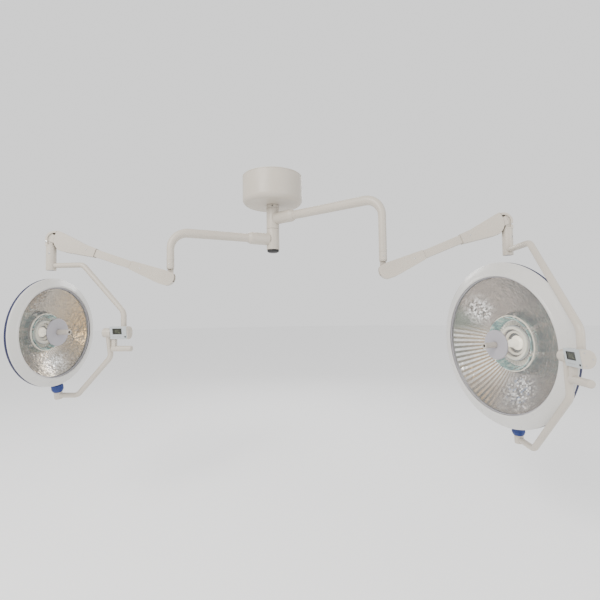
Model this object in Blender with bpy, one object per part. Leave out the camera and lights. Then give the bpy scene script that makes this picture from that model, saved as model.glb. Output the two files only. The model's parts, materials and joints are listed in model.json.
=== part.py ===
"""Ceiling-mounted surgical light with two reflector heads.

Metres, +Z up. The origin is the centre of the ceiling face of the ceiling plate.
Every joint has an empty on its axis, and each piece is a child of the empty it moves with:
arm (swings about the spindle), knuckle (swivels under the drop tube), beam (pitches),
front (stays level), yoke (swivels under the front knuckle), cradle (rolls about the
horizontal pivot), head (turns on the blue knob), focus (turns the handle socket).
"""

import math

import bmesh
import bpy
from mathutils import Matrix, Vector

GAP = 0.0003

# Ceiling fitting, sizes along the spindle measured down from the ceiling.
CANOPY_RADIUS = 0.164
CANOPY_DEPTH = 0.155
HUB_RADIUS = 0.0348
HUB_HEIGHT = 0.114
HUB_BORE = 0.0228
SPINDLE_RADIUS = 0.0225
COLLAR_HEIGHT = 0.0175
ARM_DROP = {"major": 0.2308, "minor": 0.3455}

# Arms and spring arms.
ARM_TUBE_RADIUS = 0.0228
DROP_TUBE_RADIUS = 0.0178
STUB_RADIUS = 0.0325
STUB_LENGTH = 0.128
ELBOW_RADIUS = 0.085
KNUCKLE_OFFSET = 0.0205
KNUCKLE_RADIUS = 0.041
BEAM_LENGTH = 0.532
BEAM_HEIGHT = 0.037
BEAM_WIDTH = 0.034
BEAM_WALL = 0.0028
ROD_OFFSET = 0.011
FRONT_HUB_RADIUS = 0.0213
FRONT_HUB_BOTTOM = 0.146
YOKE_TUBE_RADIUS = 0.012
YOKE_TUBE_DROP = 0.124

# Control box, shared by both yokes.
BOX_LENGTH = 0.085
BOX_HEIGHT = 0.058
BOX_DEPTH = 0.048
PIVOT_SLEEVE_RADIUS = 0.022
PIVOT_SLEEVE_LENGTH = 0.038
HANDLE_DROP = 0.073
HANDLE_RADIUS = 0.013
SCREEN_WIDTH = 0.041
SCREEN_HEIGHT = 0.024
SCREEN_SHIFT = 0.007
SCREEN_LIFT = 0.0065
KNOB_RADIUS = 0.025
END_HUB_RADIUS = 0.018

# Handle hub on the front glass.
DISC_RADIUS = 0.064
SOCKET_RADIUS = 0.0125
SOCKET_LENGTH = 0.058

# The two lamps. Angles are in degrees. Heights are those of the joint axes.
LAMPS = {
    "major": {
        "arm_length": 0.636, "arm_angle": -38.6, "rear_pivot_height": -0.564,
        "spring_angle": -10.9, "pitch": 21.5, "head_height": -0.910,
        "yoke_angle": -98.6, "roll": 2.6, "turn": 70.3,
        "radius": 0.350, "pivot_setback": 0.062, "pivot_drop": 0.012,
        "sleeve_reach": 0.3765, "yoke_reach": 0.450, "corner_reach": 0.175, "bend_height": 0.092,
        "stud_gap": -0.0440, "stud_radius": 0.010, "shell_depth": 0.170, "reflector_depth": 0.110,
    },
    "minor": {
        "arm_length": 0.538, "arm_angle": 200.8, "rear_pivot_height": -0.569,
        "spring_angle": 183.4, "pitch": 19.6, "head_height": -0.832,
        "yoke_angle": -9.4, "roll": 10.4, "turn": 3.0,
        "radius": 0.250, "pivot_setback": 0.028, "pivot_drop": 0.006,
        "sleeve_reach": 0.286, "yoke_reach": 0.361, "corner_reach": 0.160, "bend_height": 0.095,
        "stud_gap": -0.0175, "stud_radius": 0.007, "shell_depth": 0.135, "reflector_depth": 0.080,
    },
}

COLOURS = {
    "paint": ((0.72, 0.69, 0.65), 0.35, 0.0),
    "bezel": ((0.80, 0.79, 0.78), 0.30, 0.0),
    "trim": ((0.03, 0.04, 0.12), 0.50, 0.0),
    "knob": ((0.04, 0.09, 0.35), 0.40, 0.0),
    "black": ((0.02, 0.02, 0.02), 0.45, 0.0),
    "steel": ((0.60, 0.60, 0.62), 0.30, 1.0),
    "mirror": ((0.90, 0.86, 0.78), 0.08, 1.0),
    "glass": ((0.85, 0.90, 0.90), 0.05, 0.0),
    "disc": ((0.62, 0.61, 0.62), 0.50, 0.0),
    "screen": ((0.10, 0.11, 0.08), 0.25, 0.0),
    "lamp": ((0.90, 0.88, 0.80), 0.20, 0.0),
}


# ---- scene, materials and objects ----

def clear_scene():
    for old in list(bpy.data.objects):
        bpy.data.objects.remove(old, do_unlink=True)


def material(name, kind):
    colour, roughness, metallic = COLOURS[kind]
    made = bpy.data.materials.new(name)
    made.use_nodes = True
    shader = made.node_tree.nodes["Principled BSDF"]
    shader.inputs["Base Color"].default_value = (*colour, 1.0)
    shader.inputs["Roughness"].default_value = roughness
    shader.inputs["Metallic"].default_value = metallic
    return made


def carrier(name, parent, place):
    """An empty on a joint axis. place is its matrix in the parent's frame."""
    empty = bpy.data.objects.new(name, None)
    empty.empty_display_size = 0.05
    bpy.context.scene.collection.objects.link(empty)
    empty.parent = parent
    empty.matrix_local = place
    return empty


def add_object(name, bm, parent, place=None):
    bmesh.ops.remove_doubles(bm, verts=bm.verts, dist=1e-6)
    bmesh.ops.recalc_face_normals(bm, faces=bm.faces)
    mesh = bpy.data.meshes.new(name)
    bm.to_mesh(mesh)
    bm.free()
    made = bpy.data.objects.new(name, mesh)
    bpy.context.scene.collection.objects.link(made)
    made.parent = parent
    made.matrix_local = place or Matrix.Identity(4)
    return made


def piece(name, kind, bm, parent, place=None, sharp=35.0):
    """A visible sub-part with its own material."""
    made = add_object(name, bm, parent, place)
    made.data.shade_smooth()
    made.data.set_sharp_from_angle(angle=math.radians(sharp))
    made.data.materials.append(material(name + "_finish", kind))
    return made


def boolean(target, operation, bm, label, place=None):
    """Joins or cuts target with a hidden helper made from bm."""
    helper = add_object(f"{target.name}_{label}", bm, target.parent, place)
    helper.hide_render = True
    helper.display_type = "WIRE"
    step = target.modifiers.new(label, "BOOLEAN")
    step.operation = operation
    step.solver = "EXACT"
    step.object = helper


def cut(target, bm, label, place=None):
    boolean(target, "DIFFERENCE", bm, label, place)


def join(target, bm, label, place=None):
    boolean(target, "UNION", bm, label, place)


# ---- shapes ----

def turned(profile, segments, closed=True):
    """Spins (radius, height) points about Z. An open profile starts and ends on the axis."""
    bm = bmesh.new()
    verts = [bm.verts.new((r, 0.0, z)) for r, z in profile]
    pairs = list(zip(verts, verts[1:]))
    if closed:
        pairs.append((verts[-1], verts[0]))
    edges = [bm.edges.new(pair) for pair in pairs]
    bmesh.ops.spin(
        bm, geom=verts + edges, cent=(0, 0, 0), axis=(0, 0, 1),
        angle=2 * math.pi, steps=segments, use_merge=True,
    )
    bmesh.ops.remove_doubles(bm, verts=bm.verts, dist=1e-6)
    return bm


def rod(radius, low, high, segments=20):
    return turned([(0, low), (radius, low), (radius, high), (0, high)], segments, closed=False)


def sleeve(inner, outer, low, high, segments=24):
    return turned([(inner, low), (outer, low), (outer, high), (inner, high)], segments)


def prism(outline, low, high):
    """Extrudes an outline of (x, z) points along Y from low to high."""
    bm = bmesh.new()
    face = bm.faces.new([bm.verts.new((x, low, z)) for x, z in outline])
    grown = bmesh.ops.extrude_face_region(bm, geom=[face])
    moved = [v for v in grown["geom"] if isinstance(v, bmesh.types.BMVert)]
    bmesh.ops.translate(bm, verts=moved, vec=(0, high - low, 0))
    return bm


def block(x0, x1, y0, y1, z0, z1):
    return prism([(x0, z0), (x1, z0), (x1, z1), (x0, z1)], y0, y1)


def arc(cx, cz, radius, start, end, steps):
    """Points on a circle in (x, z), angles in degrees from +X towards +Z."""
    turn = [math.radians(start + (end - start) * i / steps) for i in range(steps + 1)]
    return [(cx + radius * math.cos(a), cz + radius * math.sin(a)) for a in turn]


def rounded_path(corners, fillets, steps):
    """A path in the XZ plane with its inner corners rounded."""
    points = [Vector(corners[0])]
    for before, here, after, radius in zip(corners, corners[1:], corners[2:], fillets):
        here = Vector(here)
        back = (Vector(before) - here).normalized()
        ahead = (Vector(after) - here).normalized()
        half = back.angle(ahead) / 2
        reach = radius / math.tan(half)
        centre = here + (back + ahead).normalized() * (radius / math.sin(half))
        first = here + back * reach - centre
        last = here + ahead * reach - centre
        sweep = first.angle(last)
        for i in range(steps + 1):
            t = i / steps
            part = first * math.sin((1 - t) * sweep) + last * math.sin(t * sweep)
            points.append(centre + part / math.sin(sweep))
    points.append(Vector(corners[-1]))
    return points


def swept_tube(path, radii, wall, segments):
    """A hollow tube with open ends along a path in the XZ plane."""
    bm = bmesh.new()
    outer = []
    inner = []
    for i, point in enumerate(path):
        ahead = path[min(i + 1, len(path) - 1)] - point
        back = point - path[max(i - 1, 0)]
        along = (ahead.normalized() + back.normalized()).normalized()
        across = Vector((along.z, 0, -along.x))
        for rings, radius in ((outer, radii[i]), (inner, radii[i] - wall)):
            ring = []
            for k in range(segments):
                a = 2 * math.pi * k / segments
                offset = across * math.cos(a) + Vector((0, 1, 0)) * math.sin(a)
                ring.append(bm.verts.new(point + offset * radius))
            rings.append(ring)
    for rings in (outer, inner):
        for low, high in zip(rings, rings[1:]):
            bridge(bm, low, high)
    bridge(bm, outer[0], inner[0])
    bridge(bm, outer[-1], inner[-1])
    return bm


def bridge(bm, low, high):
    count = len(low)
    for k in range(count):
        nxt = (k + 1) % count
        bm.faces.new((low[k], low[nxt], high[nxt], high[k]))


def coil(radius, wire, start, end, turns, steps, sides=5):
    """A round-wire spring along X."""
    bm = bmesh.new()
    rings = []
    total = turns * steps
    for i in range(total + 1):
        a = 2 * math.pi * i / steps
        out = Vector((0, math.cos(a), math.sin(a)))
        centre = Vector((start + (end - start) * i / total, 0, 0)) + out * radius
        ring = []
        for k in range(sides):
            b = 2 * math.pi * k / sides
            side_way = out * math.cos(b) + Vector((1, 0, 0)) * math.sin(b)
            ring.append(bm.verts.new(centre + side_way * wire))
        rings.append(ring)
    for low, high in zip(rings, rings[1:]):
        bridge(bm, low, high)
    bm.faces.new(rings[0])
    bm.faces.new(rings[-1])
    return bm


def turn_about(axis, degrees, origin=(0, 0, 0)):
    return Matrix.Translation(origin) @ Matrix.Rotation(math.radians(degrees), 4, axis)


ALONG_X = Matrix.Rotation(math.radians(90), 4, "Y")
ALONG_Y = Matrix.Rotation(math.radians(-90), 4, "X")


# ---- ceiling fitting ----

def build_ceiling(root):
    low = -CANOPY_DEPTH
    wall = 0.002
    radius = CANOPY_RADIUS
    hole = SPINDLE_RADIUS + 0.002
    lip = 0.028
    outside = [(radius, -GAP)] + arc(radius - lip, low + lip, lip, 0, -90, 3)
    inside = arc(radius - lip, low + lip, lip - wall, -90, 0, 3) + [(radius - wall, -GAP)]
    canopy = outside + [(hole, low), (hole, low + wall)] + inside
    piece("canopy", "paint", turned(canopy, 32), root)
    plate = rod(CANOPY_RADIUS - 0.010, -0.008, 0.0, 28)
    piece("ceiling_plate", "steel", plate, root)

    hub_low = -ARM_DROP["minor"] - HUB_HEIGHT / 2
    tube = sleeve(SPINDLE_RADIUS - 0.005, SPINDLE_RADIUS, hub_low + 0.004, -0.008 - GAP, 24)
    piece("spindle", "steel", tube, root)

    collar_top = low - GAP
    collar_low = collar_top - COLLAR_HEIGHT
    ring = sleeve(SPINDLE_RADIUS + GAP, HUB_RADIUS, collar_low, collar_top, 32)
    collar = piece("canopy_collar", "paint", ring, root)
    screw_place = Matrix.Translation((0, 0, (collar_top + collar_low) / 2)) @ ALONG_Y
    cut(collar, rod(0.0035, -0.06, -0.01, 12), "screw_hole", screw_place)
    screw = rod(0.0032, -HUB_RADIUS + 0.001, -SPINDLE_RADIUS - GAP, 12)
    piece("collar_screw", "black", screw, root, screw_place)

    cap = [(0, hub_low - 0.016), (0.024, hub_low - 0.015), (0.0325, hub_low - 0.010)]
    cap += [(0.0325, hub_low - GAP), (SPINDLE_RADIUS - 0.0055, hub_low - GAP)]
    cap += [(SPINDLE_RADIUS - 0.0055, hub_low + 0.020), (0, hub_low + 0.020)]
    piece("spindle_cap", "black", turned(cap, 32, closed=False), root)


# ---- one lamp ----

def build_arm(side, lamp, arm):
    half = HUB_HEIGHT / 2 - GAP / 2
    hub = piece(f"{side}_arm_hub", "paint", rod(HUB_RADIUS, -half, half, 32), arm)
    taper = STUB_LENGTH + 0.017
    stub = [(0, 0.010), (STUB_RADIUS, 0.010), (STUB_RADIUS, STUB_LENGTH)]
    stub += [(ARM_TUBE_RADIUS + 0.0015, taper), (0, taper)]
    join(hub, turned(stub, 24, closed=False), "stub", ALONG_X)
    cut(hub, rod(HUB_BORE, -0.1, 0.1, 24), "bore")
    socket_start = HUB_RADIUS + 0.006
    cut(hub, rod(ARM_TUBE_RADIUS + GAP, socket_start, 0.2, 16), "socket", ALONG_X)

    drop_end = lamp["rear_pivot_height"] + ARM_DROP[side] + KNUCKLE_RADIUS + 0.002
    corners = [(socket_start + 0.001, 0, 0), (lamp["arm_length"], 0, 0), (lamp["arm_length"], 0, drop_end)]
    path = rounded_path(corners, [ELBOW_RADIUS], 5)
    step = (ARM_TUBE_RADIUS - DROP_TUBE_RADIUS) / 5
    radii = [ARM_TUBE_RADIUS] + [ARM_TUBE_RADIUS - step * i for i in range(6)] + [DROP_TUBE_RADIUS]
    piece(f"{side}_arm_tube", "paint", swept_tube(path, radii, 0.0025, 16), arm)


def cover_shell(name, outline, inner, beam, lip_x, slot):
    """A hollow two-cheeked cover over a beam end: outline outside, inner inside, slot for the knuckle."""
    half_in = BEAM_WIDTH / 2 + 0.0004
    half_out = half_in + 0.0035
    shell = piece(name, "paint", prism(outline, -half_out, half_out), beam)
    cut(shell, prism(inner, -half_in, half_in), "cavity")
    mouth = BEAM_HEIGHT / 2 + 0.0004
    cut(shell, block(lip_x - 0.02, lip_x + 0.02, -half_in, half_in, -mouth, mouth), "mouth")
    x0, x1, z0, z1 = slot
    cut(shell, block(x0, x1, -half_in, half_in, z0, z1), "slot")


def build_rear_knuckle(side, knuckle):
    """Tongue about the pivot, with a neck and stem up into the drop tube."""
    x = KNUCKLE_OFFSET
    tongue = prism(arc(x, 0, 0.026, 0, 360, 20)[:-1], -0.005, 0.005)
    body = piece(f"{side}_rear_knuckle", "paint", tongue, knuckle)
    neck = [(-0.014, 0.0405), (-0.014, 0.012), (0.006, -0.004), (0.022, 0.012), (0.010, 0.0405)]
    join(body, prism(neck, -0.0046, 0.0046), "neck")
    stem = [(0, 0.0395), (0.0172, 0.0395), (0.0172, 0.0425), (0.0145, 0.0425), (0.0145, 0.120), (0, 0.120)]
    join(body, turned(stem, 20, closed=False), "stem")
    pin_place = Matrix.Translation((x, 0, 0)) @ ALONG_Y
    cut(body, rod(0.0043, -0.02, 0.02, 12), "pin_hole", pin_place)


def build_beam(side, beam):
    length = BEAM_LENGTH
    half_h = BEAM_HEIGHT / 2
    half_w = BEAM_WIDTH / 2
    wall = BEAM_WALL
    tail = 0.018
    solid = block(-tail, length + tail, -half_w, half_w, -half_h, half_h)
    body = piece(f"{side}_beam", "paint", solid, beam)
    in_w = half_w - wall
    cut(body, block(-0.1, length + 0.1, -in_w, in_w, -half_h + wall, half_h - wall), "bore")
    for label, x0, x1 in (("rear_fork", -0.1, 0.062), ("front_fork", length - 0.062, length + 0.1)):
        cut(body, block(x0, x1, -in_w, in_w, -0.1, 0.1), label)
    for label, x in (("rear_hole", 0.0), ("front_hole", length)):
        cut(body, rod(0.0043, -0.05, 0.05, 12), label, Matrix.Translation((x, 0, 0)) @ ALONG_Y)

    pin_half = half_w
    for label, x in (("rear_pin", 0.0), ("front_pin", length)):
        place = Matrix.Translation((x, 0, 0)) @ ALONG_Y
        piece(f"{side}_{label}", "steel", rod(0.004, -pin_half, pin_half, 12), beam, place)

    spring = coil(0.0078, 0.0016, 0.075, 0.300, 12, 6, 4)
    bmesh.ops.translate(spring, verts=spring.verts, vec=(0, 0, 0.0050))
    piece(f"{side}_balance_spring", "steel", spring, beam, sharp=80)

    mouth = BEAM_HEIGHT / 2
    round_end = arc(0, 0, KNUCKLE_RADIUS, 252, 137, 8)
    outline = [(0.170, -mouth - 0.003), (0.060, -0.036)]
    outline += [(0.022, -0.0405)] + round_end + [(0.010, 0.031), (0.170, mouth + 0.003)]
    round_in = arc(0, 0, KNUCKLE_RADIUS - 0.003, 252, 140, 8)
    inner = [(0.160, -mouth - 0.0004), (0.060, -0.033), (0.022, -0.0372)]
    inner += round_in + [(0.010, 0.028), (0.160, mouth + 0.0004)]
    cover_shell(f"{side}_rear_cover", outline, inner, beam, 0.170, (-0.06, 0.040, -0.010, 0.06))

    r = KNUCKLE_RADIUS + 0.0020
    end = length
    seam = [(end, r), (end + 0.003, 0.010), (end - 0.004, -0.018), (end - 0.014, -0.029)]
    outline = [(end - 0.190, mouth + 0.003), (end - 0.140, mouth + 0.0045), (end - 0.020, r - 0.001)]
    outline += seam + [(end - 0.032, -r), (end - 0.060, -r + 0.001), (end - 0.190, -mouth - 0.003)]
    inner = [(end - 0.180, mouth + 0.0004), (end - 0.140, mouth + 0.0015), (end - 0.020, r - 0.0038)]
    inner += [(end + 0.05, r - 0.0030), (end + 0.05, -r + 0.0030), (end - 0.060, -r + 0.0038)]
    inner += [(end - 0.180, -mouth - 0.0004)]
    half_in = BEAM_WIDTH / 2 + 0.0004
    half_out = half_in + 0.0035
    shell = piece(f"{side}_front_cover", "paint", prism(outline, -half_out, half_out), beam)
    cut(shell, prism(inner, -half_in, half_in), "cavity")
    clear = mouth + 0.0004
    cut(shell, block(end - 0.21, end - 0.15, -half_in, half_in, -clear, clear), "mouth")


def build_tie_rod(side, rod_carrier):
    eye = 0.0052
    low, high = 0.0066, 0.0124
    thin = 0.0028
    bar = [(0.006, -thin), (BEAM_LENGTH - 0.006, -thin)]
    bar += arc(BEAM_LENGTH, 0, eye, -140, 140, 8) + [(BEAM_LENGTH - 0.006, thin), (0.006, thin)]
    bar += arc(0, 0, eye, 40, 320, 8)
    piece(f"{side}_tie_rod", "steel", prism(bar, low, high), rod_carrier)


def build_front_knuckle(side, front):
    """Tongue about the pivot, round cap outside it and a stem down into the yoke hub. +X is outwards."""
    r = KNUCKLE_RADIUS - 0.0020
    low = -0.0325
    tongue = prism(arc(0, 0, 0.0250, 0, 360, 20)[:-1], -0.005, 0.005)
    body = piece(f"{side}_front_knuckle", "paint", tongue, front)
    web = arc(0, 0, r, 75, 0, 8) + [(r, low), (0.009, low)]
    join(body, prism(web, -0.0130, 0.0130), "web")
    cap = arc(0, 0, r + 0.0001, 104, 0, 10) + [(r + 0.0001, low + 0.0005), (0.029, low + 0.0005)]
    cap += arc(0, 0, 0.0300, -15, 104, 9)
    join(body, prism(cap, -0.0170, 0.0170), "cap")
    hub_place = Matrix.Translation((KNUCKLE_OFFSET, 0, 0))
    ring = FRONT_HUB_RADIUS - 0.0005
    foot = [(0, -0.135), (0.0125, -0.135), (0.0125, -0.0335), (ring, -0.0335), (ring, -0.0262), (0, -0.0262)]
    join(body, turned(foot, 24, closed=False), "foot", hub_place)
    cut(body, rod(0.0043, -0.05, 0.05, 12), "pin_hole", ALONG_Y)


def build_upper_yoke(side, lamp, yoke):
    """Hub sleeve, tube, control box and side handle. +X points at the pivot sleeve."""
    top = lamp["hub_top"]
    low = lamp["hub_low"]
    tube_z = lamp["tube_height"]
    hub = piece(f"{side}_yoke_hub", "paint", sleeve(0.0128, FRONT_HUB_RADIUS, low, top, 28), yoke)
    tube_place = Matrix.Translation((0, 0, tube_z)) @ ALONG_X
    reach = FRONT_HUB_RADIUS - 0.0040
    cut(hub, rod(YOKE_TUBE_RADIUS + GAP, reach, 0.05, 16), "tube_socket", tube_place)

    x = lamp["yoke_reach"]
    corners = [(reach + GAP, 0, tube_z), (lamp["corner_reach"], 0, tube_z)]
    corners += [(x, 0, lamp["bend_height"]), (x, 0, BOX_HEIGHT / 2 - 0.008)]
    path = rounded_path(corners, [0.040, 0.055], 3)
    radii = [YOKE_TUBE_RADIUS] * len(path)
    piece(f"{side}_upper_yoke", "paint", swept_tube(path, radii, 0.002, 12), yoke)

    start = lamp["sleeve_reach"] + PIVOT_SLEEVE_LENGTH / 2 + GAP
    build_box(side, lamp, yoke, start)


def box_section():
    """(y, z) outline of the box: slanted display face at -Y, rounded back at +Y."""
    half = BOX_HEIGHT / 2
    back = BOX_DEPTH / 2
    front = [(-back + 0.009, -half), (-back, half - 0.001), (-back + 0.002, half)]
    return front + [(y * back / half, z) for y, z in arc(0, 0, half, 90, -90, 8)]


def along_x(outline, low, high):
    """Extrudes a (y, z) outline along X."""
    bm = prism(outline, low, high)
    swap = Matrix(((0, 1, 0, 0), (1, 0, 0, 0), (0, 0, 1, 0), (0, 0, 0, 1)))
    bmesh.ops.transform(bm, matrix=swap, verts=bm.verts)
    bmesh.ops.reverse_faces(bm, faces=bm.faces)
    return bm


def display_frame(lamp, start):
    """Place of the display face's centre: X along the box, Y out of the face, Z up the face."""
    half = BOX_HEIGHT / 2
    back = BOX_DEPTH / 2
    tilt = math.degrees(math.atan2(0.009, 2 * half - 0.001))
    centre = (start + BOX_LENGTH / 2, -back + 0.0045, 0)
    facing = turn_about("Z", 180, centre)
    return facing @ turn_about("X", -tilt)


def build_box(side, lamp, yoke, start):
    end = start + BOX_LENGTH
    box = piece(f"{side}_control_box", "paint", along_x(box_section(), start, end), yoke)
    wall = 0.003
    section = [(y * 0.86, z * 0.89) for y, z in box_section()]
    cut(box, along_x(section, start + wall, end - wall), "cavity")
    x = lamp["yoke_reach"]
    cut(box, rod(YOKE_TUBE_RADIUS + GAP, 0.0, 0.1, 16), "tube_hole", Matrix.Translation((x, 0, 0)))
    cut(box, rod(0.0103, start - 0.01, start + 0.01, 16), "stud_hole", ALONG_X)

    face = display_frame(lamp, start)
    low_x, high_x = SCREEN_SHIFT - SCREEN_WIDTH / 2, SCREEN_SHIFT + SCREEN_WIDTH / 2
    low_z, high_z = SCREEN_LIFT - SCREEN_HEIGHT / 2, SCREEN_LIFT + SCREEN_HEIGHT / 2
    cut(box, block(low_x, high_x, -0.012, 0.01, low_z, high_z), "screen_window", face)
    screen = block(low_x + GAP, high_x - GAP, -0.006, -0.0006, low_z + GAP, high_z - GAP)
    piece(f"{side}_display", "screen", screen, yoke, face)

    key_x = -BOX_LENGTH / 2 + 0.013
    key_place = face @ Matrix.Translation((key_x, 0, -0.019)) @ ALONG_Y
    cut(box, rod(0.0035, -0.01, 0.01, 12), "key_hole", key_place)
    key_carrier = carrier(f"{side}_key_axis", yoke, key_place)
    piece(f"{side}_power_key", "black", rod(0.0031, -0.006, 0.0012, 12), key_carrier)
    cut(box, block(key_x - 0.006, key_x + 0.006, -0.010, -0.0035, -0.024, -0.014), "key_room", face)

    handle_start = start + 0.002
    strip_top = -BOX_HEIGHT / 2 - GAP
    strip = block(handle_start, handle_start + 0.017, -0.009, 0.009, -HANDLE_DROP + 0.004, strip_top)
    handle = piece(f"{side}_side_handle", "paint", strip, yoke)
    bar = [(0, handle_start - 0.001), (HANDLE_RADIUS, handle_start - 0.001)]
    bar += [(HANDLE_RADIUS, handle_start + 0.090), (HANDLE_RADIUS - 0.003, handle_start + 0.093)]
    bar += [(0, handle_start + 0.093)]
    join(handle, turned(bar, 20, closed=False), "bar", Matrix.Translation((0, 0, -HANDLE_DROP)) @ ALONG_X)


def build_cradle(side, lamp, cradle):
    """Lower yoke: pivot sleeve about +X, tube down and under the head, end hub about Z."""
    reach = lamp["sleeve_reach"]
    half = PIVOT_SLEEVE_LENGTH / 2
    drop = lamp["hub_drop"]
    barrel = [(0, reach - half), (PIVOT_SLEEVE_RADIUS, reach - half), (PIVOT_SLEEVE_RADIUS, reach + half)]
    barrel += [(0.0098, reach + half), (0.0098, reach + half + 0.012), (0, reach + half + 0.012)]
    body = piece(f"{side}_lower_yoke", "paint", turned(barrel, 20, closed=False), cradle, ALONG_X)
    down = lamp["radius"] * 0.22 + 0.060
    across = drop - down
    corners = [(reach, 0, -0.012), (reach, 0, -down), (reach - across, 0, -drop), (0.004, 0, -drop)]
    path = rounded_path(corners, [0.045, 0.045], 3)
    join(body, swept_tube(path, [YOKE_TUBE_RADIUS] * len(path), 0.002, 12), "tube")
    top = drop - 0.0172
    join(body, rod(END_HUB_RADIUS, -drop - 0.0165, -top, 16), "end_hub")
    cut(body, rod(0.0076, -drop - 0.008, 0.0, 14), "pin_bore")
    cut(body, rod(0.0085, 0.0, 0.030, 12), "cable_way", Matrix.Translation((0, 0, -drop)) @ ALONG_X)


def build_knob(side, lamp, head):
    """Blue friction knob on the pivot under the head, with a pin down into the end hub."""
    rim = lamp["radius"] - lamp["pivot_drop"]
    top = rim + 0.004
    low = rim + 0.0415
    pin_low = lamp["hub_drop"] + 0.006
    stud = rim + lamp["stud_gap"]
    outline = [(0, -pin_low), (0.0070, -pin_low), (0.0070, -low), (KNOB_RADIUS - 0.006, -low)]
    outline += [(KNOB_RADIUS - 0.002, -low + 0.004), (KNOB_RADIUS, -low + 0.012), (KNOB_RADIUS, -top - 0.004)]
    post = lamp["stud_radius"]
    outline += [(KNOB_RADIUS - 0.004, -top), (post, -top), (post, -stud), (0, -stud)]
    piece(f"{side}_pivot_knob", "knob", turned(outline, 16, closed=False), head)


def build_head(side, lamp, head):
    """Turned shells about the head's own axis. +Z of the axis frame is the way the light points."""
    radius = lamp["radius"]
    glass = radius * 0.832
    front = 0.025 * radius / 0.35
    facing = Matrix.Translation((lamp["pivot_setback"], 0, lamp["pivot_drop"])) @ ALONG_X
    axis = carrier(f"{side}_head_axis", head, facing)
    segments = 32
    wall = 0.0028
    back = -0.001

    bezel = [(radius - 0.0010, back), (radius, 0.0010), (radius - 0.0012, 0.0035), (radius - 0.006, 0.0060)]
    bezel += [(glass + 0.010, front - 0.002), (glass + 0.002, front), (glass, front - 0.003)]
    bezel += [(radius - 0.012, 0.0020), (radius - 0.012, back)]
    piece(f"{side}_bezel", "bezel", turned(bezel, segments), axis, sharp=28)

    edge = back - 0.0050
    trim = [(radius - 0.018, back - GAP), (radius - 0.0012, back - GAP)]
    trim += [(radius - 0.0012, edge), (radius - 0.018, edge)]
    piece(f"{side}_trim_ring", "trim", turned(trim, segments), axis)

    edge -= GAP
    deep = lamp["shell_depth"]
    outside = [(radius - 0.014, edge), (radius * 0.86, -0.30 * deep), (radius * 0.76, -0.55 * deep)]
    outside += [(radius * 0.60, -0.80 * deep), (radius * 0.38, -0.95 * deep), (0, -deep)]
    inside = [(0, -deep + wall), (radius * 0.38 - 0.0005, -0.95 * deep + wall)]
    inside += [(radius * 0.60 - 0.0015, -0.80 * deep + wall), (radius * 0.76 - 0.0020, -0.55 * deep + 0.0018)]
    inside += [(radius * 0.86 - wall, -0.30 * deep + 0.001), (radius - 0.014 - wall - 0.0006, edge)]
    shell = piece(f"{side}_back_shell", "bezel", turned(outside + inside, segments), axis)
    seat = radius - lamp["pivot_drop"] + lamp["stud_gap"] - GAP
    boss = rod(lamp["stud_radius"] + 0.002, -seat, -seat + 0.022, 14)
    join(shell, boss, "pivot_boss", facing.inverted())

    lens_top = front - 0.0095
    lens_rim = glass + 0.004
    lens = [(0.0303, lens_top - 0.004), (lens_rim, lens_top - 0.004)]
    lens += [(lens_rim, lens_top), (0.0303, lens_top)]
    piece(f"{side}_front_glass", "glass", turned(lens, segments), axis)

    rim = glass - 0.004
    depth = lamp["reflector_depth"]
    rim_z = lens_top - 0.010
    steps = 4
    hole = 0.042
    radii = [hole + (rim - hole) * i / steps for i in range(steps + 1)]
    bowl = [(r, rim_z - depth + depth * (r / rim) ** 2) for r in radii]
    behind = [(r + 0.0006, z - 0.0018) for r, z in reversed(bowl)]
    piece(f"{side}_reflector", "mirror", turned(bowl + behind, segments), axis)

    base = rim_z - depth
    lamp_body = [(0, base - 0.012), (0.030, base - 0.012), (0.030, base + 0.010), (0.014, base + 0.014)]
    lamp_body += [(0.012, base + 0.040), (0.006, base + 0.048), (0, base + 0.049)]
    piece(f"{side}_lamp_module", "lamp", turned(lamp_body, 20, closed=False), axis)

    disc_low = lens_top + GAP
    disc = [(0.0134, disc_low - 0.014), (0.0298, disc_low - 0.014), (0.0298, disc_low)]
    disc += [(DISC_RADIUS, disc_low), (DISC_RADIUS, disc_low + 0.004)]
    disc += [(DISC_RADIUS - 0.002, disc_low + 0.006), (0.0134, disc_low + 0.007)]
    piece(f"{side}_centre_disc", "disc", turned(disc, 28), axis)

    focus = carrier(f"{side}_focus_axis", axis, Matrix.Identity(4))
    tip = disc_low + 0.006 + SOCKET_LENGTH
    low = disc_low - 0.020
    socket = [(0, low), (SOCKET_RADIUS, low), (SOCKET_RADIUS, tip), (0.0070, tip)]
    socket += [(0.0070, tip - 0.040), (0, tip - 0.042)]
    piece(f"{side}_handle_socket", "disc", turned(socket, 20, closed=False), focus)


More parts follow.
